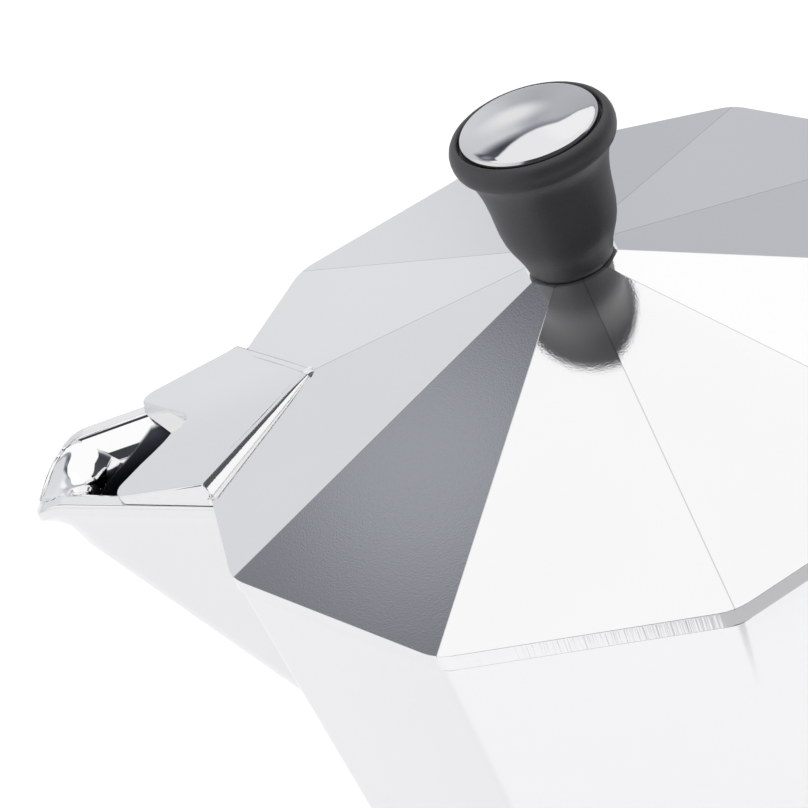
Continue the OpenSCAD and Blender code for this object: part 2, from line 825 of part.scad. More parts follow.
module knob() {
    color([0.12, 0.12, 0.13])
    difference() {
        rotate_extrude($fn = 96)
            knob_profile();
        translate([0, 0, knob_top_z - recess_t])
            cylinder(h = 5, r = disc_r + 0.25, $fn = 96);
        translate([0, 0, knob_z - 1])
            cylinder(h = insert_z - knob_z + 1 + insert_h + 1, r = screw_r + 0.3, $fn = 32);
        translate([0, 0, knob_z - 1])
            cylinder(h = insert_z - knob_z + 1 + insert_h + seat_gap, r = insert_r + pin_gap, $fn = 48);
    }
}

module knob_insert() {
    color([0.78, 0.62, 0.34])
    translate([0, 0, insert_z])
        ring(insert_r, screw_r + pin_gap, insert_h);
}

module knob_disc() {
    dome_r = (disc_r * disc_r + disc_dome * disc_dome) / (2 * disc_dome);
    color([0.88, 0.88, 0.89])
    translate([0, 0, disc_z])
        intersection() {
            cylinder(h = recess_t + disc_dome, r = disc_r, $fn = 96);
            translate([0, 0, recess_t + disc_dome - dome_r])
                sphere(r = dome_r, $fn = 160);
        }
}

module knob_screw() {
    color([0.70, 0.70, 0.71])
    difference() {
        union() {
            translate([0, 0, head_z])
                cylinder(h = screw_head_t, r = screw_head_r, $fn = 48);
            translate([0, 0, head_z + screw_head_t - eps])
                cylinder(h = insert_z + insert_h - 1 - head_z - screw_head_t, r = screw_r, $fn = 32);
        }
        translate([-5, -0.5, head_z - 1])
            cube([10, 1, 1.9]);
    }
}

module knob_washer() {
    color([0.72, 0.72, 0.73])
    translate([0, 0, washer_z])
        ring(screw_head_r + 0.6, screw_r + 0.2, washer_t);
}

module hinge_pin() {
    color([0.72, 0.72, 0.73])
    translate([hinge_x, 0, hinge_z])
        rotate([90, 0, 0])
            cylinder(h = 2 * ear_out, r = hinge_pin_r, center = true, $fn = 48);
}

// Side view of the handle: an arm, a bend and a grip that leans back to the collector
module handle_outline() {
    bend_x = handle_reach - bend_r;
    inner_r = bend_r - grip_t;
    lean = 6;
    tip_r = grip_t * 0.4;
    outer_arc = [for (a = [90 : -10 : 0])
                 [bend_x + bend_r * cos(a), handle_top_z - bend_r + bend_r * sin(a)]];
    inner_arc = [for (a = [0 : 15 : 90])
                 [bend_x + inner_r * cos(a), handle_top_z - arm_h - inner_r + inner_r * sin(a)]];
    tip_x = handle_reach - lean - tip_r;
    tip_arc = [for (a = [0 : -20 : -180])
               [tip_x + tip_r * cos(a), handle_low_z + tip_r + tip_r * sin(a)]];
    polygon(concat([[handle_front_x, handle_top_z - arm_h], [handle_front_x, handle_top_z]],
                   outer_arc, tip_arc, inner_arc));
}

module handle() {
    color([0.10, 0.10, 0.11])
    difference() {
        slab(grip_w)
            handle_outline();
        slab(tongue_w + 2 * drop_gap)
            translate([handle_front_x - 1, tongue_mid_z - tongue_h / 2 - drop_gap])
                square([tongue_l + 1 + drop_gap, tongue_h + 2 * drop_gap]);
        translate([rivet_x, 0, tongue_mid_z])
            rotate([90, 0, 0])
                cylinder(h = 60, r = rivet_r + pin_gap, center = true, $fn = 48);
    }
}

module handle_pin() {
    color([0.72, 0.72, 0.73])
    translate([rivet_x, 0, tongue_mid_z])
        rotate([90, 0, 0])
            cylinder(h = grip_w + 0.6, r = rivet_r, center = true, $fn = 48);
}

boiler();
valve_body();
valve_washer();
valve_pin();
valve_spring();
valve_cap();
funnel();
funnel_stem();
funnel_screen();
gasket();
filter_plate();
collector();
lid();
knob();
knob_insert();
knob_disc();
knob_screw();
knob_washer();
hinge_pin();
handle();
handle_pin();
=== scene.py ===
"""A ten-sided stovetop moka pot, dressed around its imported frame.

The sections follow the pot as it is put together: boiler, safety valve, funnel, gasket and
filter, collector, lid, knob, handle, and then the studio. Lengths are in millimetres until
a mesh is made; the pot stands on the floor with its spout towards -X and its handle to +X.
"""

import math

import bmesh
import bpy
from mathutils import Matrix, Vector


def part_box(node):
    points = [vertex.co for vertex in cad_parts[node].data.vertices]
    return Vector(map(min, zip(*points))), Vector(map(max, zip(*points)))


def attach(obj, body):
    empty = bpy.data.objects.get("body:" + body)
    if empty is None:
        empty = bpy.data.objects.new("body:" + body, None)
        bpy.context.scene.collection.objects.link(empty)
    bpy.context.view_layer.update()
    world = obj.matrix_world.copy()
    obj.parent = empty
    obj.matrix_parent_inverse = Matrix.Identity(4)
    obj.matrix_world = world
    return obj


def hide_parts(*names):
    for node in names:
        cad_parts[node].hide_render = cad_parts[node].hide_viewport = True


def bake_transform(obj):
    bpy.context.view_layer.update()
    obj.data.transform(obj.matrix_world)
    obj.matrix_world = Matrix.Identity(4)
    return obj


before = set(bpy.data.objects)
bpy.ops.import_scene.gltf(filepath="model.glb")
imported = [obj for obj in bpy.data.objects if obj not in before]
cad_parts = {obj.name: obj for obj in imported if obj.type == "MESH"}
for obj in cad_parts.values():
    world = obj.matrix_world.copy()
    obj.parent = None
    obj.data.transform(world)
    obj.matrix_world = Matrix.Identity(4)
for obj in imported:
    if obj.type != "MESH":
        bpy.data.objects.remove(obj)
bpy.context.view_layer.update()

# ============================================================== boiler
# The boiler is gravity-cast aluminium with ten flat sides that lean in towards the top,
# tumbled to a satin skin. Its neck is turned round and carries the thread that the
# collector screws on to; a flat land on one side takes the safety valve.
MM = 0.001
SIDES = 10
STEP = math.tau / SIDES
FLAT = math.cos(STEP / 2)

# corner radii at the foot and the shoulder, and the height of the sides
boiler_foot, boiler_shoulder, boiler_side_h = 51.5, 43.5, 74.0
boiler_wall, boiler_floor = 3.2, 3.5
neck_top, neck_r, neck_bore = 91.5, 33.9, 29.5
thread_pitch, thread_depth = 3.0, 0.9
valve_z, land_r = 46.0, 9.5

CORNER_STEPS, SIDE_STEPS = 4, 4
RING = SIDES * (CORNER_STEPS + SIDE_STEPS)


def ten_sided_ring(corner_r, z, soft=3.0, roundness=0.0, round_r=0.0):
    """Points of a ten-sided outline with soft corners, blended towards a circle."""
    apothem = corner_r * FLAT
    centre = (apothem - soft) / FLAT
    points = []
    for k in range(SIDES):
        corner = []
        for i in range(CORNER_STEPS + 1):
            a = k * STEP + STEP * (i / CORNER_STEPS - 0.5)
            corner.append((centre * math.cos(k * STEP) + soft * math.cos(a),
                           centre * math.sin(k * STEP) + soft * math.sin(a)))
        a = k * STEP + STEP / 2
        after = (k + 1) * STEP
        start = (centre * math.cos(after) + soft * math.cos(a),
                 centre * math.sin(after) + soft * math.sin(a))
        points += corner
        for i in range(1, SIDE_STEPS):
            t = i / SIDE_STEPS
            points.append((corner[-1][0] * (1 - t) + start[0] * t,
                           corner[-1][1] * (1 - t) + start[1] * t))
    if roundness:
        for i, (x, y) in enumerate(points):
            a = math.tau * (i - CORNER_STEPS / 2) / RING
            points[i] = (x * (1 - roundness) + round_r * math.cos(a) * roundness,
                         y * (1 - roundness) + round_r * math.sin(a) * roundness)
    return [(x, y, z) for x, y in points]


def round_ring(r, z):
    return [(r * math.cos(math.tau * (i - CORNER_STEPS / 2) / RING),
             r * math.sin(math.tau * (i - CORNER_STEPS / 2) / RING), z) for i in range(RING)]


def loft(rings):
    """Skins a list of closed rings and caps the two ends."""
    bm = bmesh.new()
    made = [[bm.verts.new(p) for p in ring] for ring in rings]
    n = len(rings[0])
    for low, high in zip(made, made[1:]):
        for i in range(n):
            j = (i + 1) % n
            bm.faces.new((low[i], low[j], high[j], high[i]))
    bm.faces.new(list(reversed(made[0])))
    bm.faces.new(made[-1])
    bmesh.ops.recalc_face_normals(bm, faces=bm.faces[:])
    return bm


def lathe(profile, steps=96):
    """Turns an outline of (radius, height) pairs about Z; outlines that miss the axis close up."""
    bm = bmesh.new()
    columns = []
    for i in range(steps):
        a = math.tau * i / steps
        columns.append([bm.verts.new((r * math.cos(a), r * math.sin(a), z)) if r > 1e-6 else None
                        for r, z in profile])
    poles = {j: bm.verts.new((0, 0, z)) for j, (r, z) in enumerate(profile) if r <= 1e-6}
    n = len(profile)
    closes = not poles
    for i in range(steps):
        a, b = columns[i], columns[(i + 1) % steps]
        for j in range(n if closes else n - 1):
            k = (j + 1) % n
            corners = [a[j] or poles.get(j), b[j] or poles.get(j), b[k] or poles.get(k),
                       a[k] or poles.get(k)]
            face = []
            for c in corners:
                if c not in face:
                    face.append(c)
            if len(face) > 2:
                bm.faces.new(face)
    bmesh.ops.recalc_face_normals(bm, faces=bm.faces[:])
    return bm


def extrude(outline, low, high, axis="Z"):
    """A straight prism of a plan outline between two levels."""
    place = {"Z": lambda u, v, w: (u, v, w), "Y": lambda u, v, w: (u, w, v)}[axis]
    return loft([[place(u, v, low) for u, v in outline], [place(u, v, high) for u, v in outline]])


def as_object(bm, name):
    mesh = bpy.data.meshes.new(name)
    bmesh.ops.scale(bm, vec=(MM, MM, MM), verts=bm.verts[:])
    bm.to_mesh(mesh)
    bm.free()
    made = bpy.data.objects.new(name, mesh)
    bpy.context.scene.collection.objects.link(made)
    return made


def plain_mesh(made):
    """Replaces an object's mesh by what its modifiers give, and clears them."""
    graph = bpy.context.evaluated_depsgraph_get()
    mesh = bpy.data.meshes.new_from_object(made.evaluated_get(graph))
    made.modifiers.clear()
    made.data = mesh
    return made


def combine(made, others, operation):
    """Joins or cuts one solid with others, in order, and uses the others up."""
    for other in others:
        step = made.modifiers.new("cast", "BOOLEAN")
        step.operation, step.solver, step.object = operation, "EXACT", other
        plain_mesh(made)
        bpy.data.objects.remove(other)
    return made


def hang(made, body, replaced=()):
    """Puts a finished piece on its body and in place of CAD nodes."""
    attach(made, body)
    if replaced:
        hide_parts(*replaced)
    return made


def finish_piece(made, material, body, replaced=(), edge=0.0, segments=2, angle=28, smooth=35,
                 ridge=0.0, taper=None):
    """Softens the edges, shades the piece, and hangs it on its body in place of CAD nodes."""
    mesh = made.data
    if not isinstance(material, (list, tuple)):
        material = [material]
        mesh.polygons.foreach_set("material_index", [0] * len(mesh.polygons))
    kept = [0] * len(mesh.polygons)
    mesh.polygons.foreach_get("material_index", kept)
    mesh.materials.clear()
    for skin in material:
        mesh.materials.append(skin)
    mesh.polygons.foreach_set("material_index", kept)
    if edge:
        tidy = bmesh.new()
        tidy.from_mesh(mesh)
        bmesh.ops.remove_doubles(tidy, verts=tidy.verts[:], dist=2e-6)
        cast = [line for line in tidy.edges if all(face.material_index == 0
                                                   for face in line.link_faces)]
        bmesh.ops.dissolve_limit(tidy, angle_limit=math.radians(0.5), verts=[], edges=cast,
                                 delimit={"MATERIAL"})
        in_line = [v for v in tidy.verts if len(v.link_edges) == 2 and all(f.material_index == 0
                                                                           for f in v.link_faces)]
        bmesh.ops.dissolve_limit(tidy, angle_limit=math.radians(0.5), verts=in_line, edges=[],
                                 delimit={"MATERIAL"})
        weights = tidy.edges.layers.float.new("bevel_weight_edge")
        for line in tidy.edges:
            if len(line.link_faces) == 2:
                bend = math.degrees(line.calc_face_angle(0.0))
                if bend >= angle:
                    middle = (line.verts[0].co + line.verts[1].co) / (2 * MM)
                    line[weights] = taper(middle) if taper else 1.0
                elif ridge and bend >= smooth and line.calc_length() > 5 * MM:
                    line[weights] = ridge / edge
                elif bend >= smooth:
                    line.smooth = False
        tidy.to_mesh(mesh)
        tidy.free()
        soft = made.modifiers.new("soft edges", "BEVEL")
        soft.width, soft.segments, soft.limit_method = edge * MM, segments, "WEIGHT"
        soft.miter_outer, soft.use_clamp_overlap = "MITER_ARC", False
        plain_mesh(made)
        mesh = made.data
    mesh.shade_smooth()
    if not edge:
        mesh.set_sharp_from_angle(angle=math.radians(smooth))
    weighted = made.modifiers.new("face weights", "WEIGHTED_NORMAL")
    weighted.keep_sharp, weighted.weight = True, 80
    return hang(made, body, replaced)


def new_group(name, inputs, outputs):
    group = bpy.data.node_groups.new(name, "ShaderNodeTree")
    for label, kind, value in inputs:
        socket = group.interface.new_socket(label, in_out="INPUT", socket_type=kind)
        if value is not None:
            socket.default_value = value
    for label, kind in outputs:
        group.interface.new_socket(label, in_out="OUTPUT", socket_type=kind)
    return group, group.nodes.new("NodeGroupInput"), group.nodes.new("NodeGroupOutput")


def wire(tree, kind, settings=None, **inputs):
    """Adds a node, sets its plain values, and links what comes from other nodes."""
    made = tree.nodes.new(kind)
    for key, value in (settings or {}).items():
        setattr(made, key, value)
    for key, value in inputs.items():
        by_number = key[0] == "i" and key[1:].isdigit()
        socket = made.inputs[int(key[1:]) if by_number else key.replace("_", " ")]
        if isinstance(value, bpy.types.NodeSocket):
            tree.links.new(value, socket)
        else:
            socket.default_value = value
    return made


def calc(tree, operation, *values):
    """What a math node makes of numbers and of other nodes' outputs."""
    return wire(tree, "ShaderNodeMath", {"operation": operation},
                **{"i%d" % k: value for k, value in enumerate(values)}).outputs[0]


def ramp(tree, value, source=(0.0, 1.0), result=(0.0, 1.0), soft=False):
    """Carries a value over from one range to another, evenly or with soft ends."""
    return wire(tree, "ShaderNodeMapRange", {"interpolation_type": "SMOOTHSTEP" if soft else "LINEAR"},
                Value=value, From_Min=source[0], From_Max=source[1], To_Min=result[0],
                To_Max=result[1]).outputs[0]


def noise(tree, place, scale, detail, rough=0.5):
    """A noise pattern's grey value at a place."""
    return wire(tree, "ShaderNodeTexNoise", None, Vector=place, Scale=scale, Detail=detail,
                Roughness=rough).outputs["Fac"]


def scaled(tree, vector, factor):
    """A colour or vector times a number."""
    return wire(tree, "ShaderNodeVectorMath", {"operation": "SCALE"}, i0=vector,
                Scale=factor).outputs[0]


def here(tree):
    """The shaded point, in the piece's own metres."""
    return wire(tree, "ShaderNodeTexCoord").outputs["Object"]


def make_metal_skin():
    """Shared effect: the fine grain and slow shade drift of a tumbled or turned metal skin."""
    group, into, out = new_group("metal_skin", [("Grain Size", "NodeSocketFloat", 0.00015),
                                                ("Grain Depth", "NodeSocketFloat", 0.3),
                                                ("Roughness", "NodeSocketFloat", 0.2),
                                                ("Roughness Drift", "NodeSocketFloat", 0.06),
                                                ("Color", "NodeSocketColor", (0.87, 0.87, 0.88, 1)),
                                                ("Stretch", "NodeSocketVector", (1, 1, 1))],
                                 [("Color", "NodeSocketColor"), ("Roughness", "NodeSocketFloat"),
                                  ("Normal", "NodeSocketVector")])
    place = here(group)
    stretched = wire(group, "ShaderNodeVectorMath", {"operation": "MULTIPLY"}, i0=place,
                     i1=into.outputs["Stretch"]).outputs[0]
    fine = calc(group, "DIVIDE", 1.0, into.outputs["Grain Size"])
    grain = noise(group, stretched, fine, 2.0, 0.6)
    drift = noise(group, place, 55.0, 3.0, 0.55)
    bump = wire(group, "ShaderNodeBump", None, Strength=into.outputs["Grain Depth"], Distance=0.00004,
                Height=grain)
    swing = calc(group, "SUBTRACT", drift, 0.5)
    rough = wire(group, "ShaderNodeMath", {"operation": "MULTIPLY_ADD", "use_clamp": True},
                 i0=swing, i1=into.outputs["Roughness Drift"], i2=into.outputs["Roughness"]).outputs[0]
    shade = ramp(group, drift, result=(0.985, 1.015))
    color = scaled(group, into.outputs["Color"], shade)
    group.links.new(color, out.inputs["Color"])
    group.links.new(rough, out.inputs["Roughness"])
    group.links.new(bump.outputs["Normal"], out.inputs["Normal"])
    return group


metal_skin = make_metal_skin()


def new_material(name, **plain):
    made = bpy.data.materials.new(name)
    made.use_nodes = True
    shader = made.node_tree.nodes["Principled BSDF"]
    for key, value in plain.items():
        shader.inputs[key.replace("_", " ")].default_value = value
    return made, made.node_tree, shader


def feed(tree, shader, color, rough, normal):
    """Links the three values that every skin here works out."""
    for socket, value in (("Base Color", color), ("Roughness", rough), ("Normal", normal)):
        tree.links.new(value, shader.inputs[socket])


def metal(name, color, rough, grain=0.00015, depth=0.3, drift=0.06, stretch=(1, 1, 1), pure=1.0):
    made, tree, shader = new_material(name, Metallic=pure)
    skin = tree.nodes.new("ShaderNodeGroup")
    skin.node_tree = metal_skin
    for key, value in (("Grain Size", grain), ("Grain Depth", depth), ("Roughness", rough),
                       ("Roughness Drift", drift), ("Color", (*color, 1)), ("Stretch", stretch)):
        skin.inputs[key].default_value = value
    feed(tree, shader, skin.outputs["Color"], skin.outputs["Roughness"], skin.outputs["Normal"])
    return made


SATIN = {"Grain Size": 0.00022, "Grain Depth": 0.12, "Roughness": 0.05, "Roughness Drift": 0.03,
         "Color": (0.88, 0.88, 0.885, 1)}
satin_cast = metal("satin_cast_aluminium", SATIN["Color"][:3], SATIN["Roughness"], SATIN["Grain Size"],
                   SATIN["Grain Depth"], SATIN["Roughness Drift"], pure=0.93)


def boiler_corner(z):
    return boiler_foot + (boiler_shoulder - boiler_foot) * z / boiler_side_h


def boiler_flat(z):
    return boiler_corner(z) * FLAT


inside = boiler_wall / FLAT
boiler_rings = [ten_sided_ring(*row) for row in (
    (boiler_foot - 3.2, 0.5), (boiler_foot - 2.4, 0.0), (boiler_foot - 1.5, 0.0),
    (boiler_foot - 0.7, 0.35), (boiler_foot - 0.25, 1.0), (boiler_corner(1.8), 1.8),
    (boiler_corner(72.4), 72.4), (boiler_corner(73.3) - 0.12, 73.3),
    (boiler_corner(74) - 0.55, 73.95), (boiler_corner(74) - 1.4, 74.55),
    (40.0, 76.0, 3.0, 0.35, 39.0), (37.4, 77.5, 3.0, 0.85, 36.2))]
boiler_rings += [round_ring(*row) for row in (
    (35.2, 77.95), (34.3, 78.3), (neck_r, 79.0), (neck_r, neck_top - 0.6),
    (neck_r - 0.2, neck_top - 0.15), (neck_r - 0.6, neck_top), (neck_bore + 0.5, neck_top),
    (neck_bore + 0.12, neck_top - 0.15), (neck_bore, neck_top - 0.5), (neck_bore, 78.6),
    (neck_bore + 0.6, 77.6))]
boiler_rings += [ten_sided_ring(*row) for row in (
    (36.5, 74.3, 3.0, 0.6, 35.0), (boiler_corner(71) - inside - 0.8, 71.2),
    (boiler_corner(69) - inside, 69.0), (boiler_corner(6.5) - inside, 6.5),
    (boiler_corner(4.6) - inside - 1.0, 4.3), (boiler_corner(4) - inside - 3.2, boiler_floor))]
boiler = as_object(loft(boiler_rings), "boiler_casting")
land = lathe([(0, boiler_flat(valve_z) - 2.6), (land_r, boiler_flat(valve_z) - 2.6),
              (land_r, boiler_flat(valve_z - land_r) + 1.0),
              (land_r - 0.25, boiler_flat(valve_z - land_r) + 1.45),
              (land_r - 0.7, boiler_flat(valve_z - land_r) + 1.6),
              (0, boiler_flat(valve_z - land_r) + 1.6)], 64)
along_valve = Matrix.Translation((0, 0, valve_z)) @ Matrix.Rotation(math.pi / 2, 4, "X")
land.transform(along_valve)
land_piece = as_object(land, "valve_land")
shank_hole = lathe([(0, 35), (4.85, 35), (4.85, 60), (0, 60)], 48)
shank_hole.transform(along_valve)
combine(boiler, [land_piece], "UNION")
combine(boiler, [as_object(shank_hole, "shank_hole")], "DIFFERENCE")
finish_piece(boiler, satin_cast, "boiler", ["boiler"], smooth=32)


def shape_group(name, sizes):
    """An empty geometry tree with named sizes (whole numbers stay whole) and a material."""
    tree = bpy.data.node_groups.new(name, "GeometryNodeTree")
    for label, value in sizes.items():
        kind = "NodeSocketInt" if isinstance(value, int) else "NodeSocketFloat"
        tree.interface.new_socket(label, in_out="INPUT", socket_type=kind).default_value = value
    tree.interface.new_socket("Material", in_out="INPUT", socket_type="NodeSocketMaterial")
    tree.interface.new_socket("Geometry", in_out="OUTPUT", socket_type="NodeSocketGeometry")
    return tree, tree.nodes.new("NodeGroupInput").outputs, tree.nodes.new("NodeGroupOutput")


def close_group(tree, shape, into, out):
    """Ends a geometry tree: real geometry, in the material that was handed in."""
    real = wire(tree, "GeometryNodeRealizeInstances", None, Geometry=shape).outputs[0]
    dressed = wire(tree, "GeometryNodeSetMaterial", None, Geometry=real,
                   Material=into["Material"]).outputs[0]
    tree.links.new(dressed, out.inputs[0])
    return tree


def helix_tree():
    """Geometry nodes: a ridge or wire wound round Z, fading out at both ends."""
    tree, into, out = shape_group("wound_ridge", {"Radius": 0.03, "Pitch": 0.003, "Turns": 3.0,
                                                  "Low End": 0.0, "Across": 0.001, "Wire Sides": 8,
                                                  "Fade": 0.08})
    height = calc(tree, "MULTIPLY", into["Pitch"], into["Turns"])
    path = wire(tree, "GeometryNodeCurveSpiral", None, Resolution=48, Rotations=into["Turns"],
                Start_Radius=into["Radius"], End_Radius=into["Radius"], Height=height).outputs[0]
    lift = wire(tree, "ShaderNodeCombineXYZ", None, Z=into["Low End"]).outputs[0]
    lifted = wire(tree, "GeometryNodeTransform", None, Geometry=path, Translation=lift).outputs[0]
    along = wire(tree, "GeometryNodeSplineParameter").outputs["Factor"]
    away = calc(tree, "PINGPONG", along, 0.5)
    swell = ramp(tree, away, (0.0, into["Fade"]), (0.05, 1.0))
    sized = wire(tree, "GeometryNodeSetCurveRadius", None, Curve=lifted, Radius=swell).outputs[0]
    section = wire(tree, "GeometryNodeCurvePrimitiveCircle", None, Resolution=into["Wire Sides"],
                   Radius=into["Across"]).outputs[0]
    swept = wire(tree, "GeometryNodeCurveToMesh", None, Curve=sized, Profile_Curve=section,
                 Fill_Caps=True)
    if "Scale" in swept.inputs:
        tree.links.new(swell, swept.inputs["Scale"])
    smooth = wire(tree, "GeometryNodeSetShadeSmooth", None, i0=swept.outputs[0]).outputs[0]
    return close_group(tree, smooth, into, out)


def grow(name, tree, **sizes):
    """Runs a geometry tree on an empty object and keeps its result as a plain mesh."""
    made = bpy.data.objects.new(name, bpy.data.meshes.new(name))
    bpy.context.scene.collection.objects.link(made)
    step = made.modifiers.new("grow", "NODES")
    step.node_group = tree
    for item in tree.interface.items_tree:
        label = item.name.replace(" ", "_")
        if item.in_out == "INPUT" and label in sizes:
            step[item.identifier] = sizes[label]
    return plain_mesh(made)


wound_ridge = helix_tree()


boiler_thread = grow("boiler_thread", wound_ridge, Radius=neck_r * MM, Pitch=thread_pitch * MM,
                     Turns=3.0, Low_End=81.2 * MM, Across=thread_depth * MM, Wire_Sides=6, Fade=0.05,
                     Material=satin_cast)
hang(boiler_thread, "boiler")

# ============================================================== safety valve
# A turned brass body screws into the boiler's side over a red fibre washer. A spring holds
# the steel pin shut against its seat, and a brass cap closes the outer end.
brass = metal("turned_brass", (0.80, 0.58, 0.27), 0.22, 0.0004, 0.15, 0.08)
bright_steel = metal("bright_steel", (0.72, 0.72, 0.71), 0.2, 0.0003, 0.12)
spring_steel = metal("spring_steel", (0.62, 0.62, 0.63), 0.25, 0.0003, 0.1)

land_y = boiler_flat(valve_z - land_r) + 1.6
hex_y = land_y + 1.1
hex_t, hex_w, chamber_r = 4.0, 14.0, 3.2
seat_y = boiler_flat(valve_z) - boiler_wall - 0.8
face_y = hex_y + hex_t
cap_y = face_y - 1.0



def rod(name, radius, low, high, steps=48):
    """A plain upright cylinder between two levels."""
    return as_object(lathe([(0, low), (radius, low), (radius, high), (0, high)], steps), name)


def lay_along_y(made, x, z):
    """Turns an upright piece on to its side and carries it to a place on the XZ plane."""
    made.data.transform(Matrix.Translation((x * MM, 0, z * MM)) @ Matrix.Rotation(math.pi / 2, 4, "X"))


corner = hex_w / math.sqrt(3)
hexagon = [(corner * math.cos(a), corner * math.sin(a)) for a in (math.tau * k / 6 for k in range(6))]
body_hex = as_object(extrude(hexagon, hex_y, face_y), "valve_hexagon")
chamfer = as_object(lathe([(0, hex_y - 1), (7.3, hex_y - 1), (8.4, hex_y + 0.6), (8.4, face_y - 0.6),
                           (7.3, face_y + 0.05), (0, face_y + 0.05)], 48), "valve_chamfer")
combine(body_hex, [chamfer], "INTERSECT")
shank = as_object(lathe([(1.5, seat_y - 2.2), (4.4, seat_y - 2.2), (4.8, seat_y - 1.8),
                         (4.8, hex_y + 0.2), (1.5, hex_y + 0.2)], 48), "valve_shank")
chamber = rod("valve_chamber", chamber_r, seat_y, face_y + 2)
steam_hole = rod("steam_hole", 1.5, seat_y - 4, seat_y + 4, 32)
combine(body_hex, [shank], "UNION")
combine(body_hex, [chamber, steam_hole], "DIFFERENCE")
lay_along_y(body_hex, 0, valve_z)
body_hex.name = "valve_hex_body"
finish_piece(body_hex, brass, "boiler", ["valve_body"], edge=0.2, angle=25)


def valve_part(name, profile, material, node, body="boiler"):
    bm = lathe(profile, 48)
    bm.transform(along_valve)
    return finish_piece(as_object(bm, name), material, body, [node])


cap_out = chamber_r + 1.4
valve_part("valve_end_cap", [(0.95, cap_y), (3.15, cap_y), (3.15, face_y + 0.05),
                             (cap_out, face_y + 0.05), (cap_out, cap_y + 2.0),
                             (cap_out - 0.15, cap_y + 2.3), (cap_out - 0.5, cap_y + 2.4),
                             (1.3, cap_y + 2.4), (0.95, cap_y + 2.1)], brass, "valve_cap")
valve_part("valve_relief_pin", [(0, seat_y + 0.05), (2.7, seat_y + 0.05), (2.95, seat_y + 0.3),
                                (2.95, seat_y + 1.5), (2.8, seat_y + 1.65), (0.9, seat_y + 1.65),
                                (0.9, cap_y + 4.0), (0.7, cap_y + 4.28), (0.3, cap_y + 4.38),
                                (0, cap_y + 4.38)], bright_steel, "valve_pin", "valve_pin")
spring_low = seat_y + 1.65 + 0.1 + 0.25
spring_high = cap_y - 0.35
spring = grow("valve_coil_spring", wound_ridge, Radius=2.05 * MM,
              Pitch=(spring_high - spring_low) / 5 * MM, Turns=5.0, Low_End=spring_low * MM,
              Across=0.25 * MM, Wire_Sides=8, Fade=0.001, Material=spring_steel)
lay_along_y(spring, 0, valve_z)
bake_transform(spring)
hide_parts("valve_spring")


def matte(name, color, rough, size, depth, drift=0.1, specular=0.5):
    """A non-metal with a fine moulded or fibrous skin and a little drift in its shade."""
    made, tree, shader = new_material(name, Roughness=rough, Specular_IOR_Level=specular)
    place = here(tree)
    grain = noise(tree, place, 1 / size, 3.0)
    slow = noise(tree, place, 120.0, 2.0)
    tint = ramp(tree, slow, result=(1 - drift, 1 + drift))
    shade = scaled(tree, color, tint)
    gloss = ramp(tree, slow, result=(rough - 0.06, rough + 0.06))
    bump = wire(tree, "ShaderNodeBump", None, Strength=depth, Distance=0.00006, Height=grain).outputs[0]
    feed(tree, shader, shade, gloss, bump)
    return made


def coat(node, finish):
    """Gives a piece that keeps its CAD shape its finish."""
    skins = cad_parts[node].data.materials
    skins.clear()
    skins.append(finish)


coat("valve_washer", matte("red_fibre", (0.42, 0.07, 0.04), 0.8, 0.0002, 0.5))

# ============================================================== funnel
# The coffee funnel is spun from thin aluminium sheet: a rolled flange, a straight basket
# and a shallow cone on to a plain tube. A punched screen lies loose at the bottom.
spun = metal("spun_aluminium", (0.84, 0.84, 0.85), 0.26, 0.0003, 0.25, 0.08, (0.15, 0.15, 1.0))
flange_z, basket_r, basket_h, basket_wall, flange_r, flange_t = 91.55, 28.9, 27.0, 0.9, 32.4, 1.0
basket_low, stem_r = flange_z - basket_h, 4.0
wall_in = basket_r - basket_wall
funnel_profile = [(wall_in + 0.6, flange_z + flange_t), (wall_in + 0.15, flange_z + flange_t - 0.2),
                  (wall_in, flange_z + 0.3), (wall_in, basket_low + 1.2),
                  (wall_in - 0.35, basket_low + 0.35), (wall_in - 1.2, basket_low),
                  (stem_r + 1.2, basket_low - 3.8), (stem_r + 0.3, basket_low - 4.3),
                  (stem_r + 0.05, basket_low - 5.0), (stem_r + 0.05, basket_low - 10),
                  (stem_r + 0.95, basket_low - 10), (stem_r + 0.95, basket_low - 5.4),
                  (stem_r + 1.4, basket_low - 4.9), (wall_in - 0.6, basket_low - 0.9),
                  (basket_r - 0.4, basket_low - 0.6), (basket_r, basket_low + 0.3),
                  (basket_r, flange_z - 0.15), (basket_r + 0.15, flange_z), (flange_r - 0.3, flange_z),
                  (flange_r, flange_z + 0.3), (flange_r, flange_z + 0.7),
                  (flange_r - 0.3, flange_z + flange_t)]
finish_piece(as_object(lathe(funnel_profile), "funnel_basket"), spun, "funnel",
             ["funnel"], smooth=40)
coat("funnel_stem", spun)


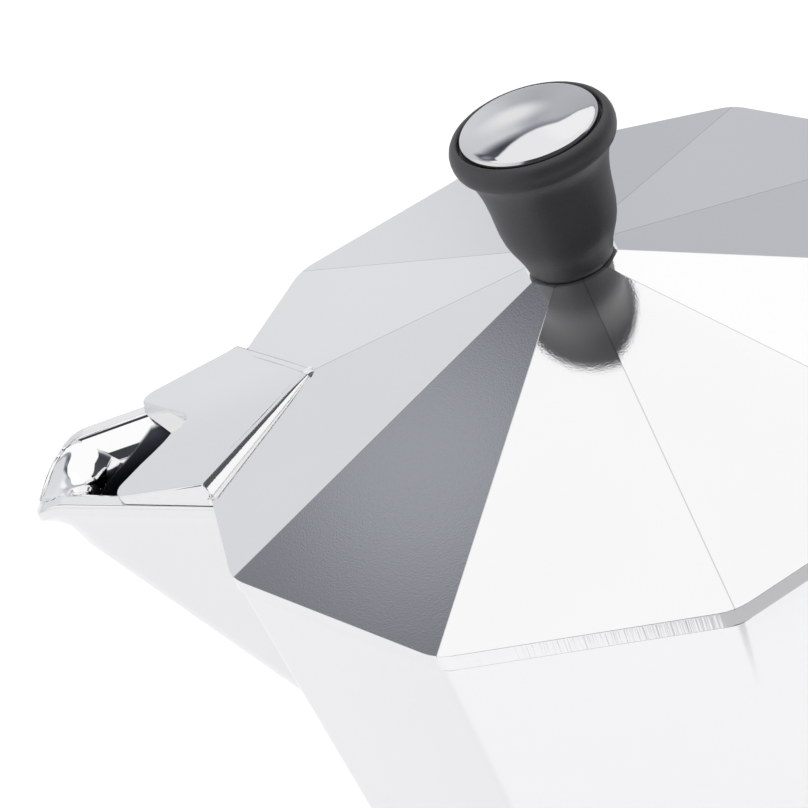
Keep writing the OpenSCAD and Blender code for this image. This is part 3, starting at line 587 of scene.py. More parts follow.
def perforated_tree():
    """Geometry nodes: a disc with rings of punched holes, the same distance apart."""
    tree, into, out = shape_group("punched_disc", {"Disc Radius": 0.028, "Thickness": 0.0008,
                                                   "Low Side": 0.0, "Hole Radius": 0.0006,
                                                   "Hole Spacing": 0.0025, "Field Radius": 0.024})
    half = calc(tree, "MULTIPLY", into["Thickness"], 0.5)
    middle = calc(tree, "ADD", into["Low Side"], half)
    lift = wire(tree, "ShaderNodeCombineXYZ", None, Z=middle).outputs[0]
    disc = wire(tree, "GeometryNodeMeshCylinder", None, Vertices=96, Radius=into["Disc Radius"],
                Depth=into["Thickness"]).outputs[0]
    placed = wire(tree, "GeometryNodeTransform", None, Geometry=disc, Translation=lift).outputs[0]
    # a grid of points, every second row shifted by half a step, kept inside the field
    rows = 27
    span = calc(tree, "MULTIPLY", into["Hole Spacing"], float(rows - 1))
    flat_span = calc(tree, "MULTIPLY", span, math.sqrt(3) / 2)
    grid = wire(tree, "GeometryNodeMeshGrid", None, Size_X=span, Size_Y=flat_span, Vertices_X=rows,
                Vertices_Y=rows).outputs[0]
    index = wire(tree, "GeometryNodeInputIndex").outputs[0]
    odd = calc(tree, "MODULO", index, float(rows))
    odd = calc(tree, "MODULO", odd, 2.0)
    shift = calc(tree, "MULTIPLY", odd, into["Hole Spacing"])
    shift = calc(tree, "MULTIPLY", shift, 0.5)
    move = wire(tree, "ShaderNodeCombineXYZ", None, X=shift, Z=middle).outputs[0]
    moved = wire(tree, "GeometryNodeSetPosition", None, Geometry=grid, Offset=move).outputs[0]
    where = wire(tree, "GeometryNodeInputPosition").outputs[0]
    flat = wire(tree, "ShaderNodeVectorMath", {"operation": "MULTIPLY"}, i0=where,
                i1=(1, 1, 0)).outputs[0]
    far = wire(tree, "ShaderNodeVectorMath", {"operation": "LENGTH"}, i0=flat).outputs["Value"]
    beyond = wire(tree, "FunctionNodeCompare", {"data_type": "FLOAT", "operation": "GREATER_THAN"},
                  i0=far, i1=into["Field Radius"]).outputs[0]
    kept = wire(tree, "GeometryNodeDeleteGeometry", {"domain": "POINT"}, Geometry=moved,
                Selection=beyond).outputs[0]
    punch_h = calc(tree, "MULTIPLY", into["Thickness"], 3.0)
    punch = wire(tree, "GeometryNodeMeshCylinder", None, Vertices=12, Radius=into["Hole Radius"],
                 Depth=punch_h).outputs[0]
    placed_punch = wire(tree, "GeometryNodeInstanceOnPoints", None, Points=kept,
                        Instance=punch).outputs[0]
    cutters = wire(tree, "GeometryNodeRealizeInstances", None, Geometry=placed_punch).outputs[0]
    cut = tree.nodes.new("GeometryNodeMeshBoolean")
    cut.operation, cut.solver = "DIFFERENCE", "EXACT"
    tree.links.new(placed, cut.inputs[0])
    tree.links.new(cutters, cut.inputs[1])
    return close_group(tree, cut.outputs[0], into, out)


punched_disc = perforated_tree()
screen_low = basket_low + 0.05
screen = grow("funnel_punched_screen", punched_disc, Disc_Radius=(wall_in - 0.25) * MM,
              Thickness=0.8 * MM, Low_Side=screen_low * MM, Hole_Radius=0.55 * MM,
              Hole_Spacing=2.4 * MM, Field_Radius=24.5 * MM, Material=spun)
hang(screen, "funnel", ["funnel_screen"])

# ============================================================== gasket and filter
# A flat ring of pale food-grade rubber seals the joint, and the punched filter plate
# lies inside it and holds the coffee grounds back.
pale_rubber = matte("pale_rubber", (0.74, 0.71, 0.65), 0.55, 0.0003, 0.25, 0.04)
gasket_z, gasket_t, gasket_bore = 92.6, 3.4, 26.5
gasket_profile = [(gasket_bore, gasket_z + 0.3), (gasket_bore + 0.3, gasket_z),
                  (flange_r - 0.3, gasket_z), (flange_r, gasket_z + 0.3),
                  (flange_r, gasket_z + gasket_t - 0.3), (flange_r - 0.3, gasket_z + gasket_t),
                  (gasket_bore + 0.3, gasket_z + gasket_t), (gasket_bore, gasket_z + gasket_t - 0.3)]
finish_piece(as_object(lathe(gasket_profile), "gasket_ring"), pale_rubber, "gasket",
             ["gasket"], smooth=50)
filter_z = 96.05
filter_plate = grow("punched_filter_plate", punched_disc, Disc_Radius=(flange_r - 2.4) * MM,
                    Thickness=0.8 * MM, Low_Side=filter_z * MM, Hole_Radius=0.5 * MM,
                    Hole_Spacing=2.2 * MM, Field_Radius=24.0 * MM, Material=spun)
hang(filter_plate, "filter_plate", ["filter_plate"])

# ============================================================== collector
# The upper vessel is one casting: ten sides that flare upwards, a V-shaped spout whose lip
# droops for pouring, a hollow column for the rising coffee, a threaded skirt, and the
# bracket for hinge and handle. The rim and lip are milled; the spout's inside is polished.
collector_low_z, rim_z, floor_low, floor_top = 82.0, 180.7, 96.9, 100.1
# corner radii at the foot and the rim and of the lid, and the wall measured through a corner
collector_low, collector_rim, lid_r, wall_at_corner = 40.8, 49.53, 50.0, 2.734
skirt_bore, seat_bore = 35.95, 32.65
hinge_x, hinge_z, knuckle_r, ear_in, ear_out = 55.5, 183.22, 3.4, 5.3, 9.3


def collector_corner(z):
    flare = collector_rim - collector_low
    return collector_low + flare * (z - collector_low_z) / (rim_z - collector_low_z)


def arc(x, z, radius, angles):
    """Points of a circle's arc round a centre, at angles in radians."""
    return [(x + radius * math.cos(a), z + radius * math.sin(a)) for a in angles]


def block(name, x, y, low, high, axis="Z"):
    """A straight-sided block; x and y are pairs of limits in the outline's plane."""
    outline = [(x[0], y[0]), (x[1], y[0]), (x[1], y[1]), (x[0], y[1])]
    return as_object(extrude(outline, low, high, axis), name)


def ten_sided(name, *rings):
    """A ten-sided solid through level rings, each given as corner radius, height and softness."""
    return as_object(loft([ten_sided_ring(*ring) for ring in rings]), name)


collector = ten_sided("collector_casting", (collector_low - 1.0, collector_low_z, 2.5),
                      (collector_low - 0.3, collector_low_z + 0.25, 2.5),
                      (collector_corner(83), 83.0, 2.5), (collector_rim, rim_z, 2.5))

# Spout: each ring of the loft follows the lip's outline, tucks in under the lip and then
# runs down the leaning keel into the ten-sided wall.
keel_tip, keel_rate, spout_slope, keel_round = -73.86, math.tan(math.radians(31.2)), 0.282, 7.4
lip_line = [(-72.2, 0.0), (-72.1, 2.6), (-71.6, 4.3), (-70.7, 5.6), (-69.3, 6.6), (-67.5, 7.35),
            (-66.0, 7.75)]


def lip_drop(x):
    t = max(0.0, (-x - 66.3) / 5.9)
    return 3.75 * min(t, 1.0) ** 2.1


def keel_outline(count=9):
    """Half of the keel's level section, from its nose to the start of the straight flank."""
    stretch = 1 / math.cos(math.atan(keel_rate))
    end = math.atan(spout_slope * stretch)
    half = []
    for i in range(count):
        a = (math.pi / 2 - end) * i / (count - 1)
        half.append((keel_round * (1 - math.cos(a)) * stretch, keel_round * math.sin(a)))
    return half


def resample(line, count):
    """Even steps along a polyline, so that two outlines can be skinned point by point."""
    lengths = [0.0]
    for (x0, y0), (x1, y1) in zip(line, line[1:]):
        lengths.append(lengths[-1] + math.hypot(x1 - x0, y1 - y0))
    result = []
    for i in range(count):
        target = lengths[-1] * i / (count - 1)
        k = max(j for j in range(len(lengths)) if lengths[j] <= target + 1e-9)
        k = min(k, len(line) - 2)
        t = (target - lengths[k]) / (lengths[k + 1] - lengths[k])
        result.append((line[k][0] + (line[k + 1][0] - line[k][0]) * t,
                       line[k][1] + (line[k + 1][1] - line[k][1]) * t))
    return result


def smooth_line(line, rounds=2):
    """Cuts the corners of an open run of points, or of table rows, and keeps its ends."""
    for _ in range(rounds):
        cut = [line[0]]
        for before, after in zip(line, line[1:]):
            for t in (0.25, 0.75):
                cut.append(tuple(a * (1 - t) + b * t for a, b in zip(before, after)))
        cut.append(line[-1])
        line = cut
    return line


def mirrored(half):
    """A half outline in +Y, given from the nose back, made whole and run from -Y to +Y."""
    return [(x, -y) for x, y in reversed(half[1:])] + half


NOSE_STEPS, FLANK_STEPS, spout_back = 25, 6, -34.0


def spout_ring(nose, depth, drooped=1.0):
    """A ring of the spout: its nose, then straight flanks back into the collector."""
    nose = resample(nose, NOSE_STEPS)
    last_x, last_y = nose[-1]
    half = nose + [(last_x + (spout_back - last_x) * i / FLANK_STEPS,
                    last_y + spout_slope * (spout_back - last_x) * i / FLANK_STEPS)
                   for i in range(1, FLANK_STEPS + 1)]
    return [(x, y, rim_z - depth - drooped * lip_drop(x)) for x, y in mirrored(half)]


def keel_at(depth):
    return [(keel_tip + keel_rate * depth + x, y) for x, y in keel_outline()]


lip_nose = smooth_line(lip_line)
blend_nose = [((a[0] * 0.35 + b[0] * 0.65), (a[1] * 0.35 + b[1] * 0.65)) for a, b in
              zip(resample(lip_nose, NOSE_STEPS), resample(keel_at(4.4), NOSE_STEPS))]
spout_rings = [spout_ring([(x + 0.04, y) for x, y in lip_nose], 0.0), spout_ring(lip_nose, 0.4),
               spout_ring([(x + 0.05, y) for x, y in lip_nose], 1.45),
               spout_ring([(x + 0.4, y - 0.03) for x, y in lip_nose], 1.8, 0.97),
               spout_ring(blend_nose, 3.0, 0.75), spout_ring(keel_at(6.5), 5.0, 0.42)]
spout_rings += [spout_ring(keel_at(d), d, 0.0) for d in (9.0, 14.0, 24.0, 36.0, 52.0, 66.0)]
spout_bm = loft(spout_rings)
spout_bm.verts.ensure_lookup_table()
crown = spout_bm.verts[:len(spout_rings[0])]
caps = [f for f in spout_bm.faces if set(f.verts) == set(crown)]
bmesh.ops.delete(spout_bm, geom=caps, context="FACES_ONLY")
for i in range(len(crown) // 2):
    strip = [crown[i], crown[i + 1], crown[-2 - i], crown[-1 - i]]
    spout_bm.faces.new(strip if i < len(crown) // 2 - 1 else [strip[0], strip[1], strip[3]])
bmesh.ops.recalc_face_normals(spout_bm, faces=spout_bm.faces[:])
spout_outer = as_object(spout_bm, "spout_outer")

# The channel: a rounded trough inside the spout, which runs out over the lip. Under a short
# upright edge its sides slope in, then dive. It is polished, and keeps its skin through the cut.
# each row: depth, tip, half width, reach of the rounded end, share of the lip's droop
channel_shape = [
    (-6.0, -72.3, 5.5, 4.2, 1.0), (-0.2, -71.9, 5.5, 4.4, 1.0), (0.35, -71.1, 5.4, 4.4, 1.0),
    (0.62, -70.6, 5.2, 4.4, 0.98), (0.95, -69.8, 4.85, 4.4, 0.95), (1.3, -69.0, 4.5, 4.4, 0.9),
    (1.75, -68.1, 4.15, 4.3, 0.82), (2.3, -67.2, 3.85, 4.2, 0.72), (3.0, -66.4, 3.62, 4.1, 0.58),
    (3.9, -65.7, 3.46, 4.0, 0.4), (5.0, -65.2, 3.36, 4.0, 0.22), (6.6, -64.9, 3.3, 4.0, 0.08),
    (9.0, -64.7, 3.26, 4.0, 0.0), (12.5, -64.2, 3.2, 4.0, 0.0), (16.0, -61.8, 3.0, 4.0, 0.0),
    (22.0, -58.0, 2.6, 4.0, 0.0), (30.0, -53.0, 2.4, 4.0, 0.0), (44.0, -44.5, 2.2, 4.0, 0.0)]


def channel_ring(depth, tip, side, reach, drooped):
    """One level section of the channel, as a ring that reaches back into the vessel."""
    quarter = [math.pi / 2 * i / 24 for i in range(25)]
    return spout_ring([(tip + reach * (1 - math.cos(a)), side * math.sin(a) ** 0.9) for a in quarter],
                      depth, drooped)


channel = as_object(loft([channel_ring(*row) for row in smooth_line(channel_shape)]), "spout_channel")

web_low = 157.0
bracket_outline = [(20, web_low - 30), (collector_corner(web_low - 12) * 0.9, web_low - 12),
                   (52.5, web_low - 5.5), (hinge_x + knuckle_r - 1.2, 160.4),
                   (hinge_x + knuckle_r, 162.2), (hinge_x + knuckle_r, hinge_z)]
bracket_outline += arc(hinge_x, hinge_z, knuckle_r, [math.pi * i / 12 for i in range(1, 13)])
bracket_outline += [(hinge_x - knuckle_r, rim_z + 0.6), (50.3, rim_z - 0.4), (20, rim_z - 0.4)]
bracket = as_object(extrude(bracket_outline, -ear_out, ear_out, "Y"), "bracket")
tongue = as_object(extrude([(52, 161.0), (75.4, 161.0), (75.9, 161.5), (75.9, 173.5), (75.4, 174.02),
                            (52, 174.02)], -4, 4, "Y"), "tongue")
knuckle_space = block("knuckle_space", (hinge_x - 5.8, hinge_x + 20), (hinge_z - 4.0, hinge_z + 20),
                      -ear_in, ear_in, "Y")
combine(bracket, [knuckle_space], "DIFFERENCE")
combine(bracket, [tongue], "UNION")

floor_r = collector_corner(floor_top)
cavity = ten_sided("cavity", (floor_r - 6.2, floor_top, 4.0), (floor_r - 4.2, floor_top + 0.7, 4.0),
                   (floor_r - 3.1, floor_top + 2.2, 3.0), (collector_corner(floor_top
                                                                            + 4) - wall_at_corner,
                                                           floor_top + 4.5, 2.0),
                   (collector_rim - wall_at_corner + 0.3, rim_z + 3.4, 2.0))
channel_keep = block("channel_keep", (-90, -10), (-40, 40), floor_top + 0.5, rim_z + 10)
combine(channel, [channel_keep], "INTERSECT")
combine(collector, [spout_outer, bracket], "UNION")
combine(collector, [cavity], "DIFFERENCE")

column = as_object(lathe([(0, floor_top - 1.5), (12.5, floor_top - 0.2), (11.2, floor_top + 0.3),
                          (10.3, floor_top + 1.6), (9.8, floor_top + 3.5), (6.2, floor_top + 63.2),
                          (6.0, floor_top + 64), (5.4, floor_top + 64.8), (4.4, floor_top + 65.4),
                          (0, floor_top + 65.7)], 64), "column")
outlets = [block("outlet", (-9, 9), (side * 6.8 - 2.6, side * 6.8 + 2.6), floor_top + 54,
                 floor_top + 61) for side in (-1, 1)]
combine(column, outlets, "DIFFERENCE")
combine(collector, [column], "UNION")
skirt = as_object(lathe([(0, 80), (skirt_bore + 0.6, 80), (skirt_bore + 0.6, 82.2), (skirt_bore, 82.9),
                         (skirt_bore, 91.5), (seat_bore, 91.55), (seat_bore, floor_low),
                         (26.5, floor_low), (3.6, floor_low + 1.4), (3.6, floor_top + 60),
                         (0, floor_top + 60)], 96), "skirt")
hinge_pin_r, handle_pin_r, pin_play = 1.5, 2.0, 0.05
handle_pin_x, handle_pin_z = 67.9, 167.52


def cross_hole(name, pin_r, x, z):
    """A cutter along Y for a pin with a little play."""
    hole = rod(name, pin_r + pin_play, -30, 30)
    lay_along_y(hole, x, z)
    return hole


combine(collector, [skirt, cross_hole("hinge_hole", hinge_pin_r, hinge_x, hinge_z),
                    cross_hole("rivet_hole", handle_pin_r, handle_pin_x, handle_pin_z)], "DIFFERENCE")


def mix(tree, kind, share, first, second):
    """Goes from the first value to the second as share goes from 0 to 1."""
    low, out = {"FLOAT": (2, 0), "VECTOR": (4, 1), "RGBA": (6, 2)}[kind]
    return wire(tree, "ShaderNodeMix", {"data_type": kind},
                **{"i0": share, "i%d" % low: first, "i%d" % (low + 1): second}).outputs[out]



def cast_with_milled_band(name, low_z, high_z, cut_depth, mark_width, ridge_painted_shade=0.0):
    """Satin casting with a milled band between two levels, marked by the cutter's upright strokes.

    A fine darker line of painted shade can run along the ten ridges of the roof."""
    made, tree, shader = new_material(name, Metallic=0.93)
    place = here(tree)
    skin = tree.nodes.new("ShaderNodeGroup")
    skin.node_tree = metal_skin
    for key, value in SATIN.items():
        skin.inputs[key].default_value = value
    part = wire(tree, "ShaderNodeSeparateXYZ", None, Vector=place).outputs
    above = calc(tree, "GREATER_THAN", part["Z"], low_z * MM)
    below = calc(tree, "LESS_THAN", part["Z"], high_z * MM)
    milled = calc(tree, "MULTIPLY", above, below)
    around = calc(tree, "ARCTAN2", part["Y"], part["X"])
    angle = calc(tree, "MULTIPLY", around, lid_r / mark_width)
    tall = calc(tree, "MULTIPLY", part["Z"], 90.0)
    lines = wire(tree, "ShaderNodeCombineXYZ", None, X=angle, Z=tall).outputs[0]
    marks = noise(tree, lines, 1.0, 2.0, 0.65)
    cuts = wire(tree, "ShaderNodeBump", None, Strength=cut_depth, Distance=0.00012,
                Height=marks).outputs[0]
    normal = mix(tree, "VECTOR", milled, skin.outputs["Normal"], cuts)
    rough = mix(tree, "FLOAT", milled, skin.outputs["Roughness"], 0.09)
    color = skin.outputs["Color"]
    # painted shade: the base colour is darkened in a thin line along the ten roof ridges
    if ridge_painted_shade:
        fivefold = calc(tree, "MULTIPLY", around, 5.0)
        swing = calc(tree, "SINE", fivefold)
        swing = calc(tree, "ABSOLUTE", swing)
        level = wire(tree, "ShaderNodeCombineXYZ", None, X=part["X"], Y=part["Y"]).outputs[0]
        reach = wire(tree, "ShaderNodeVectorMath", {"operation": "LENGTH"}, i0=level).outputs["Value"]
        apart = calc(tree, "MULTIPLY", swing, reach)
        line = ramp(tree, apart, (0.2 * MM, 0.45 * MM), (1.0, 0.0), soft=True)
        inland = calc(tree, "GREATER_THAN", part["X"], cover_tip[0] * MM)
        beside = calc(tree, "ABSOLUTE", part["Y"])
        beside = calc(tree, "GREATER_THAN", beside, 2 * MM)
        clear = calc(tree, "MAXIMUM", inland, beside)
        on_roof = calc(tree, "GREATER_THAN", part["Z"], high_z * MM)
        line = calc(tree, "MULTIPLY", line, clear)
        line = calc(tree, "MULTIPLY", line, on_roof)
        share = ramp(tree, line, result=(1.0, 1.0 - ridge_painted_shade))
        color = scaled(tree, color, share)
    feed(tree, shader, color, rough, normal)
    return made


collector_skin = cast_with_milled_band("collector_cast_aluminium", 180.66, 181.5, 0.03, 0.3)
polished_cast = metal("polished_aluminium", (0.9, 0.9, 0.905), 0.06, 0.0008, 0.03, 0.03)
# The buffing wheel reaches only the mouth of the channel; below it the cast skin stays dull and
# its colour is darkened as painted shade, where the channel runs in under the cover.
mouth_tree = polished_cast.node_tree
mouth_shader = mouth_tree.nodes["Principled BSDF"]
mouth_at = wire(mouth_tree, "ShaderNodeSeparateXYZ", None,
                Vector=here(mouth_tree)).outputs
buffed_to = ramp(mouth_tree, mouth_at["X"], (-65.0 * MM, -58.0 * MM), (175.2 * MM, 179.45 * MM))
below_mouth = calc(mouth_tree, "SUBTRACT", buffed_to, mouth_at["Z"])
# painted shade: below the buffed mouth the base colour goes nearly black, and the roughness rises
painted_shade_and_dull = ramp(mouth_tree, below_mouth, (-0.3 * MM, 0.2 * MM), soft=True)
for socket, kind, shade_and_dull_value in (("Base Color", "RGBA", (0.066, 0.07, 0.088, 1)),
                              ("Roughness", "FLOAT", 0.5)):
    clean = mouth_shader.inputs[socket].links[0].from_socket
    mouth_tree.links.new(mix(mouth_tree, kind, painted_shade_and_dull, clean, shade_and_dull_value), mouth_shader.inputs[socket])
for part, index in ((collector, 0), (channel, 1)):
    part.data.materials.clear()
    part.data.materials.append(collector_skin)
    part.data.materials.append(polished_cast)
    part.data.polygons.foreach_set("material_index", [index] * len(part.data.polygons))
combine(collector, [channel], "DIFFERENCE")


def collector_edge_share(p):
    """The lapped rim under the lid keeps a crisper edge than the rest of the casting."""
    return 0.3 if p.z > rim_z - 0.3 and p.xy.length > 44.0 and p.x > -46.0 else 1.0


finish_piece(collector, [collector_skin, polished_cast], "collector", ["collector"],
             edge=0.28, segments=3, angle=30, taper=collector_edge_share)
skirt_thread = grow("collector_thread", wound_ridge, Radius=skirt_bore * MM, Pitch=thread_pitch * MM,
                    Turns=2.0, Low_End=83.6 * MM, Across=thread_depth * MM, Wire_Sides=6, Fade=0.05,
                    Material=satin_cast)
hang(skirt_thread, "collector")

# ============================================================== lid
# The lid is a cast ten-sided roof with a low milled band round its edge. A cover on the
# spout's side stands up from two of its faces, and a knuckle at the back holds the hinge pin.
corner_z, lid_rise, lid_seat, lid_round = 183.02, 14.64, 196.08, 5.5


def roof_z(x, y):
    """Height of the ten-sided roof over a point."""
    a = math.atan2(y, x)
    k = math.floor(a / STEP)
    mid = (k + 0.5) * STEP
    away = x * math.cos(mid) + y * math.sin(mid)
    return corner_z + lid_rise * (1 - away / (lid_r * FLAT))


def lid_roof():
    """Ten crisp faces over a rim whose corners are softly rounded in plan."""
    bm = bmesh.new()
    rim = [(x, y) for x, y, _ in ten_sided_ring(lid_r, 0, lid_round)]
    low = [bm.verts.new((x, y, rim_z + 0.34)) for x, y in rim]
    high = [bm.verts.new((x, y, corner_z)) for x, y in rim]
    flat_r = lid_r * (1 - (lid_seat - corner_z) / lid_rise)
    top = [bm.verts.new((flat_r * math.cos(k * STEP), flat_r * math.sin(k * STEP), lid_seat))
           for k in range(SIDES)]
    n = len(rim)
    for i in range(n):
        j = (i + 1) % n
        bm.faces.new((low[i], low[j], high[j], high[i]))
    per = CORNER_STEPS + SIDE_STEPS
    half = CORNER_STEPS // 2
    for k in range(SIDES):
        first = k * per + half
        edge = [high[(first + i) % n] for i in range(per + 1)]
        bm.faces.new(edge + [top[(k + 1) % SIDES], top[k]])
    bm.faces.new(top)
    bm.faces.new(list(reversed(low)))
    bmesh.ops.recalc_face_normals(bm, faces=bm.faces[:])
    return bm


lid = as_object(lid_roof(), "lid_casting")

# Cover: its plan stands on the lip and has a rounded notch; its top falls to the front and is
# a little crowned. Its long sides stand up from the roof out of a hollow fillet.
cover_tip, cover_side = (-33.4, 0.0), (-46.1, 13.3)
cover_front, cover_notch = (-59.2, 9.6), (-49.2, 0.0)
cover_fall, cover_crown, crown_reach, notch_lean = 0.2055, 0.1, 3.0, 0.34


def rounded_corner(before, corner, after, radius, steps=16):
    """Points that round one corner of a plan outline."""
    a = Vector(before) - Vector(corner)
    b = Vector(after) - Vector(corner)
    a.normalize()
    b.normalize()
    half = a.angle(b) / 2
    reach = radius / math.tan(half)
    centre = Vector(corner) + (a + b).normalized() * (radius / math.sin(half))
    start = Vector(corner) + a * reach - centre
    end = Vector(corner) + b * reach - centre
    turn = start.angle_signed(end)
    points = []
    for i in range(steps + 1):
        c, s = math.cos(-turn * i / steps), math.sin(-turn * i / steps)
        points.append((centre.x + start.x * c - start.y * s, centre.y + start.x * s + start.y * c))
    return points


def cover_outline(tuck=0.0, inset=0.0, lean=0.0):
    """The cover's plan; the sides tuck in, the whole is inset, and the notch leans out at the foot."""
    tip = (cover_tip[0] - 2.0 * inset, 0.0)
    side = (cover_side[0] - 0.3 * inset, cover_side[1] - 0.5 * tuck - 1.2 * inset)
    front = (cover_front[0] + 0.4 * tuck + 1.6 * inset - 0.5 * lean,
             cover_front[1] - 1.1 * tuck - 1.3 * inset)
    notch = (cover_notch[0] + 1.4 * inset - 1.9 * lean, 0.0)
    half = [tip, side] + rounded_corner(side, front, notch, 1.5)
    near = rounded_corner(front, notch, (front[0], -front[1]), 1.9)
    return half + near + [(x, -y) for x, y in reversed(half[1:])]


def cover_top(x, y):
    """Height of the cover's top over a point."""
    fall = cover_fall * (cover_tip[0] - x)
    return corner_z + 4.98 - fall - cover_crown * (math.hypot(y, crown_reach) - crown_reach)


def below_top(drop):
    """A block whose upper side is the cover's crowned top, lowered by drop."""
    bm = bmesh.new()
    xs = [-80.0, -70.0, -64.0, -60.0, -56.0, -52.0, -48.0, -44.0, -40.0, -36.0, -30.0, -20.0]
    ys = [2.0 * j + 1.0 for j in range(-11, 11)]
    top = [[bm.verts.new((x, y, cover_top(x, y) - drop)) for y in ys] for x in xs]
    low = [[bm.verts.new((x, y, 150.0)) for y in ys] for x in xs]
    for i in range(len(xs) - 1):
        for j in range(len(ys) - 1):
            bm.faces.new((top[i][j], top[i + 1][j], top[i + 1][j + 1], top[i][j + 1]))
            bm.faces.new((low[i][j], low[i][j + 1], low[i + 1][j + 1], low[i + 1][j]))
    for i in range(len(xs) - 1):
        for j in (0, len(ys) - 1):
            bm.faces.new((top[i][j], low[i][j], low[i + 1][j], top[i + 1][j]))
    for j in range(len(ys) - 1):
        for i in (0, len(xs) - 1):
            bm.faces.new((top[i][j], top[i][j + 1], low[i][j + 1], low[i][j]))
    bmesh.ops.recalc_face_normals(bm, faces=bm.faces[:])
    return bm


cover_low = rim_z + 0.06
cover = as_object(loft([[(x, y, z) for x, y in cover_outline(tuck, 0.0,
                                                             notch_lean * (corner_z + 2.0 - z))] for z,
                        tuck in ((cover_low, 0.4), (corner_z - 1.5, 0.2), (corner_z - 0.6, 0.05),
                                 (corner_z + 0.4, 0.0), (corner_z + 9.0, 0.0))]), "cover")
combine(cover, [as_object(below_top(0.0), "sheet_top")], "INTERSECT")


def cover_fillet(side, steps=16, stations=9):
    """The hollow fillet along one long side: it leaves the roof at a crease and ends nearly upright."""
    start, end = Vector((cover_tip[0], 0.0)), Vector((cover_side[0], side * cover_side[1]))
    along = (end - start).normalized()
    out = Vector((-along.y, along.x)) * -side
    low_bend, high_bend, flatten = math.radians(73), math.radians(85), 0.227
    rings = []
    for k in range(stations):
        t = -0.02 + 1.02 * k / (stations - 1)
        foot = start + (end - start) * t
        rise = max(0.02, cover_top(foot.x, foot.y) - roof_z(foot.x, foot.y))
        radius = 0.83 * rise / (math.sin(high_bend) - math.sin(low_bend))
        ring = []
        for i in range(steps + 1):
            a = low_bend + (high_bend - low_bend) * i / steps
            p = foot + out * (radius * (math.sin(high_bend) - math.sin(a)))
            under = roof_z(p.x, p.y)
            ring.append((p.x, p.y, under - 0.03
                         + flatten * radius * (math.cos(low_bend) - math.cos(a))))
        inner, outer = foot - out * 0.8, foot + out * (0.85 * rise)
        ring += [(inner.x, inner.y, ring[-1][2]), (inner.x, inner.y, ring[0][2] - 0.9),
                 (outer.x, outer.y, ring[0][2] - 0.9)]
        rings.append(ring)
    return loft(rings)


def cover_edge_share(p):
    """The cover's long edges are softened less towards its tip; the milled band's edges stay crisp."""
    back = cover_tip[0] - p.x
    if back <= 13.0 and abs(abs(p.y) - 1.047 * back) < 2.6 and p.z > corner_z - 0.5:
        return min(1.0, max(0.04, back / 13.0))
    beside_band = p.z < rim_z + 0.5 or abs(p.z - corner_z) < 0.4
    return 0.3 if beside_band and p.xy.length > 44.0 and p.x > -46.0 else 1.0


combine(lid, [cover, as_object(cover_fillet(-1), "near_fillet"),
              as_object(cover_fillet(1), "far_fillet")], "UNION")

lid_ring_out = collector_rim - wall_at_corner - 0.7
ring = ten_sided("lid_ring", (lid_ring_out - 0.4, rim_z - 3.0, 2.0), (lid_ring_out, rim_z - 2.4, 2.0),
                 (lid_ring_out, rim_z + 1.0, 2.0))
ring_gap = block("ring_gap", (-90, -20), (-14.6, 14.6), rim_z - 9, rim_z + 0.2)
combine(ring, [ring_gap], "DIFFERENCE")
combine(lid, [ring], "UNION")

hollow = ten_sided("lid_hollow", (lid_ring_out - 1.6, rim_z - 6, 2.0),
                   (lid_ring_out - 1.6, corner_z - 1.2, 2.0),
                   (lid_ring_out - 2.6, corner_z + 0.15, 2.0), (14.0, 190.9, 1.5), (9.0, 192.2, 1.0))
cover_void = as_object(extrude(cover_outline(0.6, 1.0), rim_z - 1, corner_z + 20), "cover_void")
combine(cover_void, [as_object(below_top(1.5), "sheet_low")], "INTERSECT")
combine(lid, [hollow, cover_void], "DIFFERENCE")

knuckle_outline = [(44.0, rim_z + 0.05), (hinge_x - 0.5, rim_z + 0.05)]
knuckle_outline += arc(hinge_x, hinge_z, 3.2, [math.pi * (i / 12 - 0.5) for i in range(1, 13)])
knuckle_outline += [(hinge_x - 2.0, hinge_z + 3.1), (44.0, corner_z + 2.2)]
knuckle = as_object(extrude(knuckle_outline, -5.0, 5.0, "Y"), "lid_knuckle")
combine(lid, [knuckle], "UNION")
combine(lid, [cross_hole("lid_pin_hole", hinge_pin_r, hinge_x, hinge_z),
              rod("screw_hole", 2.1, 185, 205, 32)], "DIFFERENCE")
lid_skin = cast_with_milled_band("lid_cast_aluminium", rim_z - 0.01, corner_z - 0.15, 0.24, 0.34, 0.3)
finish_piece(lid, lid_skin, "lid", ["lid"], edge=0.2, segments=3, angle=22, smooth=8,
             ridge=0.07, taper=cover_edge_share)

# ============================================================== knob
# A turned knob of black thermoset plastic, matt from the mould. A brass insert and a steel
# screw from below hold it, and a domed disc of polished steel is pressed into its top.
black_plastic = matte("matt_black_plastic", (0.048, 0.048, 0.0515), 0.42, 0.0003, 0.45, 0.12, 0.5)
mirror_steel = metal("polished_steel", (0.73, 0.73, 0.74), 0.04, 0.0006, 0.02, 0.02)
knob_z = 196.13
knob_profile = [(r, knob_z + above) for r, above in (
    (2.2, 0), (4.6, 0), (4.85, 0.2), (5.0, 0.7), (5.3, 1.8), (5.75, 2.9), (6.18, 3.9), (6.5, 4.9),
    (6.74, 6.2), (6.86, 7.6), (6.96, 9.0), (7.12, 10.4), (7.32, 11.5), (7.52, 12.3), (7.76, 13.1),
    (8.06, 13.8), (8.38, 14.35), (8.62, 14.7), (8.74, 14.86), (8.86, 14.92), (9.0, 15.04), (9.14, 15.3),
    (9.25, 15.7), (9.3, 16.15), (9.26, 16.65), (9.1, 17.15), (8.84, 17.55), (8.54, 17.78), (8.28, 17.8),
    (8.12, 17.66), (8.06, 17.4), (8.05, 17.0), (2.2, 16.9))]
finish_piece(as_object(lathe(knob_profile, 128), "knob_turned"), black_plastic, "lid",
             ["knob"], smooth=40)
disc_z = knob_z + 17.05
disc_profile = [(0, disc_z), (7.6, disc_z), (7.8, disc_z + 0.2), (7.8, disc_z + 0.7),
                (7.72, disc_z + 0.98), (7.5, disc_z + 1.16)]
